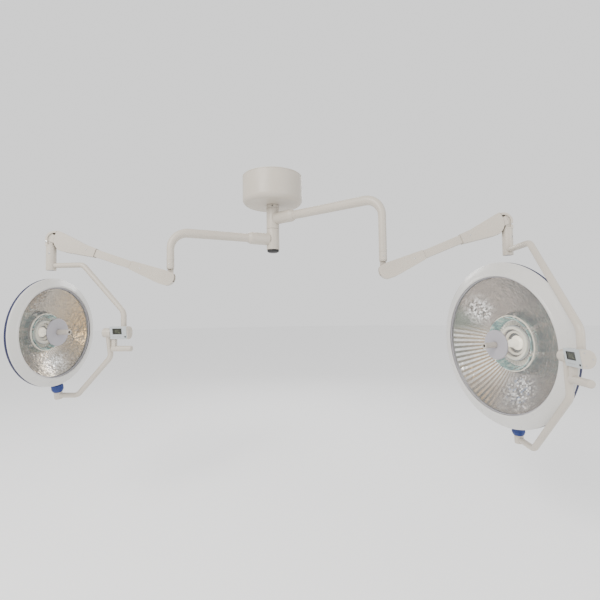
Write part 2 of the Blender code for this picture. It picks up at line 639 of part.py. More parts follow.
def build_lamp(side, root):
    lamp = dict(LAMPS[side])
    arm = carrier(f"{side}_arm_axis", root, turn_about("Z", lamp["arm_angle"], (0, 0, -ARM_DROP[side])))
    build_arm(side, lamp, arm)

    swivel = lamp["spring_angle"] - lamp["arm_angle"]
    pivot_z = lamp["rear_pivot_height"] + ARM_DROP[side]
    knuckle = carrier(f"{side}_knuckle_axis", arm, turn_about("Z", swivel, (lamp["arm_length"], 0, pivot_z)))
    build_rear_knuckle(side, knuckle)

    beam = carrier(f"{side}_beam_axis", knuckle, turn_about("Y", -lamp["pitch"], (KNUCKLE_OFFSET, 0, 0)))
    build_beam(side, beam)
    tie_place = turn_about("Y", -lamp["pitch"], (KNUCKLE_OFFSET, 0, -ROD_OFFSET))
    tie = carrier(f"{side}_tie_axis", knuckle, tie_place)
    build_tie_rod(side, tie)

    front = carrier(f"{side}_front_axis", beam, turn_about("Y", lamp["pitch"], (BEAM_LENGTH, 0, 0)))
    build_front_knuckle(side, front)

    pivot_height = lamp["rear_pivot_height"] + BEAM_LENGTH * math.sin(math.radians(lamp["pitch"]))
    below = pivot_height - lamp["head_height"]
    lamp["hub_top"] = below - 0.0335 - GAP
    lamp["hub_low"] = below - FRONT_HUB_BOTTOM
    lamp["tube_height"] = below - YOKE_TUBE_DROP
    lamp["hub_drop"] = lamp["radius"] - lamp["pivot_drop"] + 0.059
    turn = lamp["yoke_angle"] - lamp["spring_angle"]
    yoke = carrier(f"{side}_yoke_axis", front, turn_about("Z", turn, (KNUCKLE_OFFSET, 0, -below)))
    build_upper_yoke(side, lamp, yoke)

    cradle = carrier(f"{side}_cradle_axis", yoke, turn_about("X", lamp["roll"]))
    build_cradle(side, lamp, cradle)
    head = carrier(f"{side}_turn_axis", cradle, turn_about("Z", -lamp["turn"]))
    build_head(side, lamp, head)
    build_knob(side, lamp, head)


def main():
    clear_scene()
    root = carrier("surgical_light", None, Matrix.Identity(4))
    build_ceiling(root)
    for side in LAMPS:
        build_lamp(side, root)


main()
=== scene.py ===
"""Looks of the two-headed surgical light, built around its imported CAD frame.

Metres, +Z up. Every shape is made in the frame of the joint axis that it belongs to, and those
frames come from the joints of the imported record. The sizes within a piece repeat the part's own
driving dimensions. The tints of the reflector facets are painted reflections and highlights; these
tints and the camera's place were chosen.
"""

import json
import math
import random

import bmesh
import bpy
from mathutils import Matrix, Vector


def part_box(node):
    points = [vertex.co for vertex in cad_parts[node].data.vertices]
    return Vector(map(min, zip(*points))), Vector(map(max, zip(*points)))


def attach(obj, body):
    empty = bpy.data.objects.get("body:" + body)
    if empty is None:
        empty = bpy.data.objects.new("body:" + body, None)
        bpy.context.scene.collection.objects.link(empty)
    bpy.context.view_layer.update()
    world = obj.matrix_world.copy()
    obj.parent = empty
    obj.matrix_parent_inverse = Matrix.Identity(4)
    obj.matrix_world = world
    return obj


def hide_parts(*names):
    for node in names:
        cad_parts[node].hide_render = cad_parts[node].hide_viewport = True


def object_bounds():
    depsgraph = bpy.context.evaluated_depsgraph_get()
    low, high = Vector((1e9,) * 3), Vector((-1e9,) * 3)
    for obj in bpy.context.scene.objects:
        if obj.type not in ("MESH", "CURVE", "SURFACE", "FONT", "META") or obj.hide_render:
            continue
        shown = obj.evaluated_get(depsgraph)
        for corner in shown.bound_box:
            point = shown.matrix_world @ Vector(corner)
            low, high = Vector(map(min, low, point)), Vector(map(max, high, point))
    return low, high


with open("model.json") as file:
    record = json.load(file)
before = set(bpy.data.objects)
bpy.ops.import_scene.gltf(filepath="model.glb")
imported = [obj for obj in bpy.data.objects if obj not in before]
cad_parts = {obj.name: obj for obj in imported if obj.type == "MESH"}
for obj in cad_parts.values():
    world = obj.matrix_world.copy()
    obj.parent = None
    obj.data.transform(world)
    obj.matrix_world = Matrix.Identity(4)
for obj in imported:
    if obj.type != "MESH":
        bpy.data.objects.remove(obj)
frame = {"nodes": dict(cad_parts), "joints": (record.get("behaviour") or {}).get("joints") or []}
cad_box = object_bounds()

GAP = 0.0003

# Ceiling fitting.
CANOPY_RADIUS = 0.164
CANOPY_DEPTH = 0.155
HUB_RADIUS = 0.0348
HUB_HEIGHT = 0.114
SPINDLE_RADIUS = 0.0225
COLLAR_HEIGHT = 0.0175

# Arms and spring arms.
ARM_TUBE_RADIUS = 0.0228
DROP_TUBE_RADIUS = 0.0178
STUB_RADIUS = 0.0325
STUB_LENGTH = 0.128
ELBOW_RADIUS = 0.085
KNUCKLE_OFFSET = 0.0205
KNUCKLE_RADIUS = 0.041
BEAM_HEIGHT = 0.037
BEAM_WIDTH = 0.034
FRONT_HUB_RADIUS = 0.0213
FRONT_HUB_BOTTOM = 0.146
YOKE_TUBE_RADIUS = 0.012
YOKE_TUBE_DROP = 0.124

# Control box and side handle.
BOX_LENGTH = 0.085
BOX_HEIGHT = 0.058
BOX_DEPTH = 0.048
PIVOT_SLEEVE_RADIUS = 0.022
PIVOT_SLEEVE_LENGTH = 0.038
HANDLE_DROP = 0.073
HANDLE_RADIUS = 0.013
SCREEN_WIDTH = 0.041
SCREEN_HEIGHT = 0.024
SCREEN_SHIFT = 0.007
SCREEN_LIFT = 0.0065

# Heads.
KNOB_RADIUS = 0.025
END_HUB_RADIUS = 0.018
DISC_RADIUS = 0.064
SOCKET_RADIUS = 0.0125
SOCKET_LENGTH = 0.058
HEADS = {
    "major": {
        "radius": 0.350, "pivot_drop": 0.012, "stud_gap": -0.0440, "stud_radius": 0.010,
        "shell_depth": 0.170, "reflector_depth": 0.110, "yoke_reach": 0.450,
        "corner_reach": 0.175, "bend_height": 0.092, "seed": 4,
    },
    "minor": {
        "radius": 0.250, "pivot_drop": 0.006, "stud_gap": -0.0175, "stud_radius": 0.007,
        "shell_depth": 0.135, "reflector_depth": 0.080, "yoke_reach": 0.361,
        "corner_reach": 0.160, "bend_height": 0.095, "seed": 9,
    },
}

ROUND = 72

# Camera: place in metres, yaw, pitch and roll in radians, focal length in millimetres.
CAMERA_PLACE = (0.0, -2.0433, -0.76)
CAMERA_TURN = (0.0707, 0.0387, -0.0143)
CAMERA_LENS = 22.28


# ---- frames read from the record's joints ----

JOINTS = {joint["name"]: joint for joint in frame["joints"]}
UP = Vector((0, 0, 1))


def joint_place(name):
    return Vector(JOINTS[name]["pos_m"])


def joint_axis(name):
    return Vector(JOINTS[name]["axis"]).normalized()


def basis(origin, x, z):
    """A frame at origin with +Z along z and +X as near to x as it can be."""
    z = z.normalized()
    y = z.cross(x).normalized()
    x = y.cross(z)
    made = Matrix((x, y, z)).transposed().to_4x4()
    made.translation = origin
    return made


def flat(vector):
    return Vector((vector.x, vector.y, 0))


def lamp_frames(side):
    """The frames of one lamp's joint axes, and the lengths between them."""
    arm_at = joint_place(f"{side}_arm_swivel")
    drop_at = joint_place(f"{side}_spring_swivel")
    rear_at = joint_place(f"{side}_spring_pitch")
    front_at = joint_place(f"{side}_front_level")
    cross = -joint_axis(f"{side}_spring_pitch")
    outward = cross.cross(UP)
    along = (front_at - rear_at).normalized()
    yoke_way = joint_axis(f"{side}_cradle_roll")
    centre = joint_place(f"{side}_head_turn")
    pivot_axis = joint_axis(f"{side}_head_turn")
    light_way = joint_axis(f"{side}_handle_turn")
    return {
        "arm": basis(arm_at, flat(drop_at - arm_at), UP),
        "knuckle": basis(drop_at, outward, UP),
        "beam": basis(rear_at, along, along.cross(cross)),
        "front": basis(front_at, outward, UP),
        "yoke": basis(centre, yoke_way, UP),
        "cradle": basis(centre, yoke_way, pivot_axis),
        "turn": basis(centre, light_way, pivot_axis),
        "head": basis(joint_place(f"{side}_handle_turn"), pivot_axis, light_way),
        "arm_length": flat(drop_at - arm_at).length,
        "arm_drop": drop_at.z - arm_at.z,
        "beam_length": (front_at - rear_at).length,
        "below": front_at.z - centre.z,
        "reach": (joint_place(f"{side}_cradle_roll") - centre).length,
    }


# ---- node materials ----

def new_material(name):
    made = bpy.data.materials.new(name)
    made.use_nodes = True
    return made, made.node_tree.nodes, made.node_tree.links


def noise(nodes, links, scale, detail=3.0, stretch=None):
    coords = nodes.new("ShaderNodeTexCoord")
    texture = nodes.new("ShaderNodeTexNoise")
    texture.inputs["Scale"].default_value = scale
    texture.inputs["Detail"].default_value = detail
    source = coords.outputs["Object"]
    if stretch:
        mapping = nodes.new("ShaderNodeMapping")
        mapping.inputs["Scale"].default_value = stretch
        links.new(source, mapping.inputs["Vector"])
        source = mapping.outputs["Vector"]
    links.new(source, texture.inputs["Vector"])
    return texture.outputs["Fac"]


def ramp(nodes, links, source, stops):
    made = nodes.new("ShaderNodeValToRGB")
    elements = made.color_ramp.elements
    while len(elements) < len(stops):
        elements.new(0.5)
    for element, (place, colour) in zip(elements, stops):
        element.position = place
        element.color = (*colour, 1.0)
    links.new(source, made.inputs["Fac"])
    return made.outputs["Color"]


def blend_colours(nodes, links, kind, amount, first, second):
    mix = nodes.new("ShaderNodeMix")
    mix.data_type = "RGBA"
    mix.blend_type = kind
    if isinstance(amount, float):
        mix.inputs[0].default_value = amount
    else:
        links.new(amount, mix.inputs[0])
    links.new(first, mix.inputs[6])
    links.new(second, mix.inputs[7])
    return mix.outputs[2]


def spread(nodes, links, source, low, high):
    made = nodes.new("ShaderNodeMapRange")
    made.inputs["From Min"].default_value = 0.3
    made.inputs["From Max"].default_value = 0.7
    made.inputs["To Min"].default_value = low
    made.inputs["To Max"].default_value = high
    links.new(source, made.inputs["Value"])
    return made.outputs["Result"]


def bump(nodes, links, shader, layers):
    """Stacks (height source, distance, strength) layers into the shader's normal."""
    normal = None
    for height, distance, strength in layers:
        made = nodes.new("ShaderNodeBump")
        made.inputs["Distance"].default_value = distance
        made.inputs["Strength"].default_value = strength
        links.new(height, made.inputs["Height"])
        if normal:
            links.new(normal, made.inputs["Normal"])
        normal = made.outputs["Normal"]
    links.new(normal, shader.inputs["Normal"])


def coated(name, colour, rough, peel=0.25, hollow_shade=0.35, coat=0.0, metallic=0.0, peel_scale=520.0):
    """A sprayed or moulded skin: broad tone drift, painted shade in the hollows, edge wear and orange peel.
    """
    made, nodes, links = new_material(name)
    shader = nodes["Principled BSDF"]
    dark = tuple(part * 0.93 for part in colour)
    drift = ramp(nodes, links, noise(nodes, links, 5.0), [(0.30, dark), (0.70, colour)])
    # Painted shade: an ambient occlusion mask darkens and warms the colour in hollows and crevices.
    occlusion = nodes.new("ShaderNodeAmbientOcclusion")
    occlusion.samples = 4
    occlusion.inputs["Distance"].default_value = 0.012
    shade_tint = (colour[0] * 0.62, colour[1] * 0.58, colour[2] * 0.52)
    shaded_hollows = ramp(nodes, links, occlusion.outputs["AO"], [(0.25, shade_tint), (0.85, (1.0, 1.0, 1.0))])
    base = blend_colours(nodes, links, "MULTIPLY", hollow_shade, drift, shaded_hollows)
    specks = ramp(
        nodes, links, noise(nodes, links, 260.0, 2.0), [(0.60, (1, 1, 1)), (0.78, (0.90, 0.89, 0.87))]
    )
    base = blend_colours(nodes, links, "MULTIPLY", 0.5, base, specks)
    geometry = nodes.new("ShaderNodeNewGeometry")
    worn = ramp(
        nodes, links, geometry.outputs["Pointiness"], [(0.56, (1, 1, 1)), (0.66, (0.86, 0.86, 0.88))]
    )
    base = blend_colours(nodes, links, "MULTIPLY", 0.6, base, worn)
    links.new(base, shader.inputs["Base Color"])
    shader.inputs["Metallic"].default_value = metallic
    shader.inputs["Coat Weight"].default_value = coat
    shader.inputs["Coat Roughness"].default_value = 0.18
    smudge = noise(nodes, links, 22.0, 4.0)
    links.new(spread(nodes, links, smudge, rough - 0.05, rough + 0.07), shader.inputs["Roughness"])
    peel_height = noise(nodes, links, peel_scale, 1.0)
    bump(nodes, links, shader, [(peel_height, 0.0003, peel), (smudge, 0.0006, 0.05)])
    return made


def turned_metal(name, colour, rough):
    """Machined steel or aluminium with fine tool marks."""
    made, nodes, links = new_material(name)
    shader = nodes["Principled BSDF"]
    marks = noise(nodes, links, 30.0, 4.0, (1.0, 1.0, 40.0))
    dark = tuple(part * 0.80 for part in colour)
    links.new(ramp(nodes, links, marks, [(0.3, dark), (0.7, colour)]), shader.inputs["Base Color"])
    shader.inputs["Metallic"].default_value = 1.0
    links.new(spread(nodes, links, marks, rough - 0.06, rough + 0.10), shader.inputs["Roughness"])
    bump(nodes, links, shader, [(marks, 0.0002, 0.20)])
    return made


def facet_mirror(name):
    """Polished facets. Each facet carries its own tint from a colour attribute: painted reflections and
    painted highlights.
    """
    made, nodes, links = new_material(name)
    shader = nodes["Principled BSDF"]
    tint = nodes.new("ShaderNodeAttribute")
    tint.attribute_name = "painted_reflection"
    haze = ramp(
        nodes, links, noise(nodes, links, 60.0, 4.0), [(0.35, (0.88, 0.88, 0.88)), (0.65, (1, 1, 1))]
    )
    base = blend_colours(nodes, links, "MULTIPLY", 1.0, tint.outputs["Color"], haze)
    links.new(base, shader.inputs["Base Color"])
    shader.inputs["Metallic"].default_value = 1.0
    links.new(spread(nodes, links, noise(nodes, links, 40.0), 0.07, 0.16), shader.inputs["Roughness"])
    bump(nodes, links, shader, [(noise(nodes, links, 240.0, 2.0), 0.0004, 0.30)])
    return made


def clear_glass(name, colour, alpha, rough=0.03):
    made, nodes, links = new_material(name)
    shader = nodes["Principled BSDF"]
    smear = noise(nodes, links, 12.0, 4.0)
    pale = tuple(min(1.0, part * 1.08) for part in colour)
    links.new(ramp(nodes, links, smear, [(0.3, colour), (0.7, pale)]), shader.inputs["Base Color"])
    links.new(spread(nodes, links, smear, rough, rough + 0.04), shader.inputs["Roughness"])
    shader.inputs["Alpha"].default_value = alpha
    shader.inputs["Coat Weight"].default_value = 0.4
    shader.inputs["Coat Roughness"].default_value = 0.02
    return made


def filter_glass(name):
    """Heat filter: glass with a patchy green to blue interference coating."""
    made, nodes, links = new_material(name)
    shader = nodes["Principled BSDF"]
    patches = noise(nodes, links, 42.0, 6.0)
    stops = [
        (0.36, (0.04, 0.16, 0.17)), (0.46, (0.12, 0.38, 0.36)), (0.54, (0.35, 0.62, 0.55)),
        (0.64, (0.85, 0.93, 0.86))
    ]
    links.new(ramp(nodes, links, patches, stops), shader.inputs["Base Color"])
    links.new(spread(nodes, links, patches, 0.06, 0.22), shader.inputs["Roughness"])
    shader.inputs["Metallic"].default_value = 0.25
    shader.inputs["Coat Weight"].default_value = 0.6
    bump(nodes, links, shader, [(noise(nodes, links, 160.0, 3.0), 0.0008, 0.5)])
    return made


def glowing(name, colour, strength):
    made, nodes, links = new_material(name)
    shader = nodes["Principled BSDF"]
    cloud = noise(nodes, links, 70.0, 3.0)
    dim = tuple(part * 0.85 for part in colour)
    links.new(ramp(nodes, links, cloud, [(0.3, dim), (0.7, colour)]), shader.inputs["Base Color"])
    links.new(spread(nodes, links, cloud, 0.10, 0.22), shader.inputs["Roughness"])
    shader.inputs["Emission Color"].default_value = (*colour, 1.0)
    shader.inputs["Emission Strength"].default_value = strength
    return made


FINISHES = {
    "paint": coated("paint_finish", (0.50, 0.455, 0.390), 0.40),
    "black": coated("black_finish", (0.006, 0.006, 0.007), 0.50, hollow_shade=0.0),
    "steel": turned_metal("steel_finish", (0.62, 0.62, 0.63), 0.28),
    "knob": coated("knob_finish", (0.008, 0.030, 0.170), 0.42, peel=0.4, hollow_shade=0.1),
    "trim": coated("trim_finish", (0.004, 0.007, 0.050), 0.55, hollow_shade=0.0),
    "bezel": coated("bezel_finish", (0.60, 0.59, 0.565), 0.30, peel=0.12, coat=0.25),
    "shell": coated("shell_finish", (0.55, 0.53, 0.50), 0.33, peel=0.18, coat=0.15),
    "mirror": facet_mirror("mirror_finish"),
    "front_glass": clear_glass("front_glass_finish", (0.90, 0.93, 0.93), 0.07),
    "filter": filter_glass("filter_finish"),
    "ceramic": coated("ceramic_finish", (0.86, 0.80, 0.66), 0.28, coat=0.4),
    "lamp": glowing("lamp_finish", (1.0, 0.93, 0.78), 0.7),
    "disc": coated("disc_finish", (0.37, 0.355, 0.385), 0.48, peel=0.5),
    "socket": coated("socket_finish", (0.50, 0.46, 0.41), 0.34),
    "box": coated("box_finish", (0.42, 0.45, 0.46), 0.38),
    "screen": coated("screen_finish", (0.014, 0.015, 0.008), 0.34, peel=0.02, hollow_shade=0.0),
    "digit": coated("digit_finish", (0.10, 0.11, 0.07), 0.34, peel=0.02, hollow_shade=0.0),
    "key": coated("key_finish", (0.008, 0.008, 0.010), 0.55, hollow_shade=0.0),
    "pad": coated("pad_finish", (0.36, 0.37, 0.38), 0.50, hollow_shade=0.0),
}


# ---- mesh tools ----

def turned(profile, segments=ROUND, closed=True):
    """Spins (radius, height) points about Z. An open profile starts and ends on the axis."""
    bm = bmesh.new()
    verts = [bm.verts.new((r, 0.0, z)) for r, z in profile]
    pairs = list(zip(verts, verts[1:]))
    if closed:
        pairs.append((verts[-1], verts[0]))
    edges = [bm.edges.new(pair) for pair in pairs]
    bmesh.ops.spin(
        bm, geom=verts + edges, cent=(0, 0, 0), axis=(0, 0, 1),
        angle=2 * math.pi, steps=segments, use_merge=True,
    )
    bmesh.ops.remove_doubles(bm, verts=bm.verts, dist=1e-6)
    bmesh.ops.recalc_face_normals(bm, faces=bm.faces)
    return bm


def rod(radius, low, high, segments=48):
    return turned([(0, low), (radius, low), (radius, high), (0, high)], segments, closed=False)


def softened(points, radius, steps=4, closed=False):
    """Rounds the corners of a 2D outline. radius is one value or one for each corner."""
    count = len(points)
    given = radius if isinstance(radius, (list, tuple)) else [radius] * count
    made = []
    for i, here in enumerate(points):
        inner = closed or 0 < i < count - 1
        here = Vector(here)
        if not inner or given[i] <= 0:
            made.append(tuple(here))
            continue
        before = Vector(points[i - 1]) - here
        after = Vector(points[(i + 1) % count]) - here
        reach = min(given[i], before.length * 0.49, after.length * 0.49)
        start = here + before.normalized() * reach
        end = here + after.normalized() * reach
        for k in range(steps + 1):
            t = k / steps
            made.append(tuple(start * (1 - t) ** 2 + here * 2 * t * (1 - t) + end * t ** 2))
    return made


def prism(outline, low, high):
    """Extrudes an outline of (x, z) points along Y from low to high."""
    bm = bmesh.new()
    face = bm.faces.new([bm.verts.new((x, low, z)) for x, z in outline])
    grown = bmesh.ops.extrude_face_region(bm, geom=[face])
    moved = [v for v in grown["geom"] if isinstance(v, bmesh.types.BMVert)]
    bmesh.ops.translate(bm, verts=moved, vec=(0, high - low, 0))
    bmesh.ops.recalc_face_normals(bm, faces=bm.faces)
    return bm


def block(x0, x1, y0, y1, z0, z1):
    return prism([(x0, z0), (x1, z0), (x1, z1), (x0, z1)], y0, y1)


def along_x(outline, low, high):
    """Extrudes a (y, z) outline along X."""
    bm = prism(outline, low, high)
    swap = Matrix(((0, 1, 0, 0), (1, 0, 0, 0), (0, 0, 1, 0), (0, 0, 0, 1)))
    bmesh.ops.transform(bm, matrix=swap, verts=bm.verts)
    bmesh.ops.recalc_face_normals(bm, faces=bm.faces)
    return bm


def arc(cx, cz, radius, start, end, steps):
    turn = [math.radians(start + (end - start) * i / steps) for i in range(steps + 1)]
    return [(cx + radius * math.cos(a), cz + radius * math.sin(a)) for a in turn]


def rounded_path(corners, fillets, steps):
    """A path in the XZ plane with its inner corners rounded."""
    points = [Vector(corners[0])]
    for before, here, after, radius in zip(corners, corners[1:], corners[2:], fillets):
        here = Vector(here)
        back = (Vector(before) - here).normalized()
        ahead = (Vector(after) - here).normalized()
        half = back.angle(ahead) / 2
        reach = radius / math.tan(half)
        centre = here + (back + ahead).normalized() * (radius / math.sin(half))
        first = here + back * reach - centre
        last = here + ahead * reach - centre
        sweep = first.angle(last)
        for i in range(steps + 1):
            t = i / steps
            part = first * math.sin((1 - t) * sweep) + last * math.sin(t * sweep)
            points.append(centre + part / math.sin(sweep))
    points.append(Vector(corners[-1]))
    return points


def swept_tube(path, radii, segments=40, lip=0.0):
    """A closed tube along a path in the XZ plane. lip rounds its two end faces."""
    bm = bmesh.new()
    rings = []
    last = len(path) - 1
    stations = []
    for i, point in enumerate(path):
        ahead = path[min(i + 1, last)] - point
        back = point - path[max(i - 1, 0)]
        along = (ahead.normalized() + back.normalized()).normalized()
        if i == 0 and lip:
            stations.append((point, along, radii[i] - lip))
            stations.append((point + along * lip, along, radii[i]))
        elif i == last and lip:
            stations.append((point - along * lip, along, radii[i]))
            stations.append((point, along, radii[i] - lip))
        else:
            stations.append((point, along, radii[i]))
    for point, along, radius in stations:
        across = Vector((along.z, 0, -along.x))
        ring = []
        for k in range(segments):
            a = 2 * math.pi * k / segments
            ring.append(
                bm.verts.new(point + (across * math.cos(a) + Vector((0, 1, 0)) * math.sin(a)) * radius)
            )
        rings.append(ring)
    for low, high in zip(rings, rings[1:]):
        for k in range(segments):
            nxt = (k + 1) % segments
            bm.faces.new((low[k], low[nxt], high[nxt], high[k]))
    bm.faces.new(rings[0])
    bm.faces.new(rings[-1])
    bmesh.ops.recalc_face_normals(bm, faces=bm.faces)
    return bm


def moved(bm, place):
    bmesh.ops.transform(bm, matrix=place, verts=bm.verts)
    return bm


def merged(*parts):
    """Several closed shells in one mesh."""
    mesh = bpy.data.meshes.new("part")
    whole = bmesh.new()
    for part in parts:
        part.to_mesh(mesh)
        whole.from_mesh(mesh)
        part.free()
    bpy.data.meshes.remove(mesh)
    return whole


def helper(bm):
    mesh = bpy.data.meshes.new("helper")
    bm.to_mesh(mesh)
    bm.free()
    made = bpy.data.objects.new("helper", mesh)
    bpy.context.scene.collection.objects.link(made)
    return made


def combined(base, tool, operation="DIFFERENCE"):
    """base with tool cut from it or joined to it."""
    first = helper(base)
    second = helper(tool)
    step = first.modifiers.new("step", "BOOLEAN")
    step.operation = operation
    step.solver = "EXACT"
    step.object = second
    graph = bpy.context.evaluated_depsgraph_get()
    graph.update()
    done = bpy.data.meshes.new_from_object(first.evaluated_get(graph))
    bm = bmesh.new()
    bm.from_mesh(done)
    for old in (first, second):
        mesh = old.data
        bpy.data.objects.remove(old)
        bpy.data.meshes.remove(mesh)
    bpy.data.meshes.remove(done)
    return bm


def piece(name, finish, bm, body, place, nodes=(), bevel=0.0, sharp=32.0, bevel_steps=3):
    """A visible piece on a body, in place of the CAD nodes it stands for."""
    bmesh.ops.remove_doubles(bm, verts=bm.verts, dist=1e-6)
    moved(bm, place)
    mesh = bpy.data.meshes.new(name)
    bm.to_mesh(mesh)
    bm.free()
    made = bpy.data.objects.new(name, mesh)
    bpy.context.scene.collection.objects.link(made)
    mesh.materials.append(FINISHES[finish])
    mesh.shade_smooth()
    if bevel:
        step = made.modifiers.new("edge", "BEVEL")
        step.width = bevel
        step.segments = bevel_steps
        step.limit_method = "ANGLE"
        step.angle_limit = math.radians(40)
        step.harden_normals = True
    else:
        mesh.set_sharp_from_angle(angle=math.radians(sharp))
    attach(made, body)
    if nodes:
        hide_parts(*nodes)
    return made


def turn_about(axis, degrees, origin=(0, 0, 0)):
    return Matrix.Translation(origin) @ Matrix.Rotation(math.radians(degrees), 4, axis)


ALONG_X = turn_about("Y", 90)
ALONG_Y = turn_about("X", -90)


def cap_screw(radius, height):
    """A socket-head screw seen from outside: chamfered head with a hexagon socket. +Z is outwards."""
    head = [(0, -height), (radius, -height), (radius, 0)]
    head = softened(head + [(0, 0)], [0, 0, radius * 0.3, 0])
    body = turned(head, 32, closed=False)
    socket = turned(
        [(0, -height * 0.5), (radius * 0.52, -height * 0.5), (radius * 0.52, 0.01), (0, 0.01)], 6,
        closed=False
    )
    return combined(body, socket)


def cross_screw(radius):
    """A small domed screw with a cross recess. +Z is outwards."""
    dome = [
        (0, -0.001), (radius, -0.001), (radius, 0.0002), (radius * 0.7, radius * 0.30), (0, radius * 0.38)
    ]
    body = turned(softened(dome, [0, 0, 0, radius * 0.3, 0]), 32, closed=False)
    arm = radius * 0.62
    slot = radius * 0.14
    body = combined(body, block(-arm, arm, -slot, slot, radius * 0.08, 1))
    return combined(body, block(-slot, slot, -arm, arm, radius * 0.08, 1))


# ---- ceiling fitting ----

def build_ceiling():
    still = Matrix.Identity(4)
    low = -CANOPY_DEPTH
    radius = CANOPY_RADIUS
    hole = SPINDLE_RADIUS + 0.002
    lip = 0.028
    outside = [(radius, -GAP), (radius, -0.0040), (radius - 0.0008, -0.0046), (radius - 0.0008, -0.0056)]
    outside += [(radius, -0.0062)] + arc(radius - lip, low + lip, lip, 0, -90, 14)
    inside = arc(radius - lip, low + lip, lip - 0.002, -90, 0, 8) + [(radius - 0.002, -GAP)]
    profile = outside + [(hole + 0.001, low), (hole, low + 0.001), (hole, low + 0.002)] + inside
    piece("canopy_cover", "paint", turned(profile, 128), "ceiling", still, ["canopy"], sharp=40)
    plate = softened(
        [(0, -0.008), (radius - 0.010, -0.008), (radius - 0.010, 0), (0, 0)], [0, 0.001, 0.001, 0]
    )
    piece("ceiling_disc", "steel", turned(plate, 96, closed=False), "ceiling", still, ["ceiling_plate"])

    top = low - GAP
    bottom = top - COLLAR_HEIGHT
    ring = [
        (SPINDLE_RADIUS + GAP, bottom), (HUB_RADIUS, bottom), (HUB_RADIUS, top), (SPINDLE_RADIUS + GAP, top)
    ]
    collar = turned(softened(ring, [0, 0.0012, 0.0012, 0], closed=True), 96)
    facing = turn_about("Z", -4) @ Matrix.Translation((0, 0, (top + bottom) / 2)) @ turn_about("X", 90)
    collar = combined(collar, moved(rod(0.0038, 0.02, 0.06), facing))
    piece("collar_ring", "paint", collar, "ceiling", still, ["canopy_collar"], sharp=40)
    screw = moved(cap_screw(0.0034, 0.006), Matrix.Translation((0, 0, HUB_RADIUS - 0.0006)))
    piece("collar_grub_screw", "black", screw, "ceiling", facing, ["collar_screw"])

    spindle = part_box("spindle")
    column = [
        (0, spindle[0].z), (SPINDLE_RADIUS, spindle[0].z), (SPINDLE_RADIUS, spindle[1].z), (0, spindle[1].z)
    ]
    piece("spindle_column", "steel", turned(column, 64, closed=False), "ceiling", still, ["spindle"])
    cap_low, cap_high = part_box("spindle_cap")
    hub_low = cap_high.z - 0.020
    cap = [
        (0, cap_low.z), (0.024, cap_low.z + 0.001), (0.0325, cap_low.z + 0.006), (0.0325, hub_low - GAP),
        (0, hub_low - GAP)
    ]
    piece(
        "spindle_end_cap", "black", turned(softened(cap, [0, 0.004, 0.004, 0.0008, 0]), 80, closed=False),
        "ceiling", still, ["spindle_cap"]
    )


# ---- arm ----

def build_arm(side, lamp, place):
    body = f"{side}_arm"
    half = HUB_HEIGHT / 2 - GAP / 2
    barrel = softened(
        [(0.0228, -half), (HUB_RADIUS, -half), (HUB_RADIUS, half), (0.0228, half)], [0, 0.0015, 0.0015, 0],
        closed=True
    )
    hub = turned(barrel, 96)
    taper = STUB_LENGTH + 0.017
    stub = [
        (0, 0.026), (STUB_RADIUS, 0.026), (STUB_RADIUS, STUB_LENGTH), (ARM_TUBE_RADIUS + 0.0012, taper),
        (0, taper)
    ]
    stub = turned(softened(stub, [0, 0, 0.006, 0.0012, 0], 6), 80, closed=False)
    hub = combined(hub, moved(stub, ALONG_X), "UNION")
    screw_turn = turn_about("Z", 250 if side == "minor" else -60)
    if side == "minor":
        seat = screw_turn @ Matrix.Translation((0, 0, 0.028)) @ ALONG_X
        hub = combined(hub, moved(rod(0.0042, HUB_RADIUS - 0.003, 0.06), seat))
        screw = moved(cap_screw(0.0039, 0.005), Matrix.Translation((0, 0, HUB_RADIUS - 0.0003)))
        piece(f"{side}_arm_brake_screw", "black", screw, body, place @ seat)
    piece(f"{side}_hub_casting", "paint", hub, body, place, [f"{side}_arm_hub"], bevel=0.0012, bevel_steps=2)

    start = HUB_RADIUS + 0.040
    end = lamp["arm_drop"] + KNUCKLE_RADIUS + 0.002
    corners = [(start, 0, 0), (lamp["arm_length"], 0, 0), (lamp["arm_length"], 0, end)]
    steps = 18
    path = rounded_path(corners, [ELBOW_RADIUS], steps)
    shrink = (ARM_TUBE_RADIUS - DROP_TUBE_RADIUS) / steps
    radii = [ARM_TUBE_RADIUS] + [ARM_TUBE_RADIUS - shrink * i for i in range(steps + 1)] + [DROP_TUBE_RADIUS]
    tube = swept_tube(path, radii, 56, lip=0.0012)
    at_drop = Matrix.Translation((lamp["arm_length"], 0, end))
    tube = combined(tube, moved(rod(0.0150, -0.02, 0.085), at_drop))
    piece(f"{side}_arm_pipe", "paint", tube, body, place, [f"{side}_arm_tube"], sharp=40)
    band = [
        (DROP_TUBE_RADIUS - 0.001, 0.0), (DROP_TUBE_RADIUS + 0.0007, 0.0),
        (DROP_TUBE_RADIUS + 0.0007, 0.0085), (DROP_TUBE_RADIUS - 0.001, 0.0085)
    ]
    band = turned(softened(band, 0.0006, closed=True), 64)
    piece(f"{side}_drop_band", "paint", band, body, place @ at_drop @ Matrix.Translation((0, 0, 0.040)))
    side_way = place @ at_drop @ Matrix.Translation((0, 0, 0.020))
    toward = turn_about("Z", math.degrees(-math.atan2(place[1][0], place[0][0])) - 95)
    screw = moved(cap_screw(0.0032, 0.004), Matrix.Translation((0, 0, DROP_TUBE_RADIUS + 0.0004)))
    piece(f"{side}_drop_screw", "steel", screw, body, side_way @ toward @ ALONG_X)


# ---- spring arm ----

def cover_shell(outline, inner, lip_x, slot):
    half_in = BEAM_WIDTH / 2 + 0.0004
    half_out = half_in + 0.0035
    shell = combined(prism(outline, -half_out, half_out), prism(inner, -half_in, half_in))
    mouth = BEAM_HEIGHT / 2 + 0.0004
    shell = combined(shell, block(lip_x - 0.03, lip_x + 0.03, -half_in, half_in, -mouth, mouth))
    if slot:
        x0, x1, z0, z1 = slot
        shell = combined(shell, block(x0, x1, -half_in, half_in, z0, z1))
    return shell


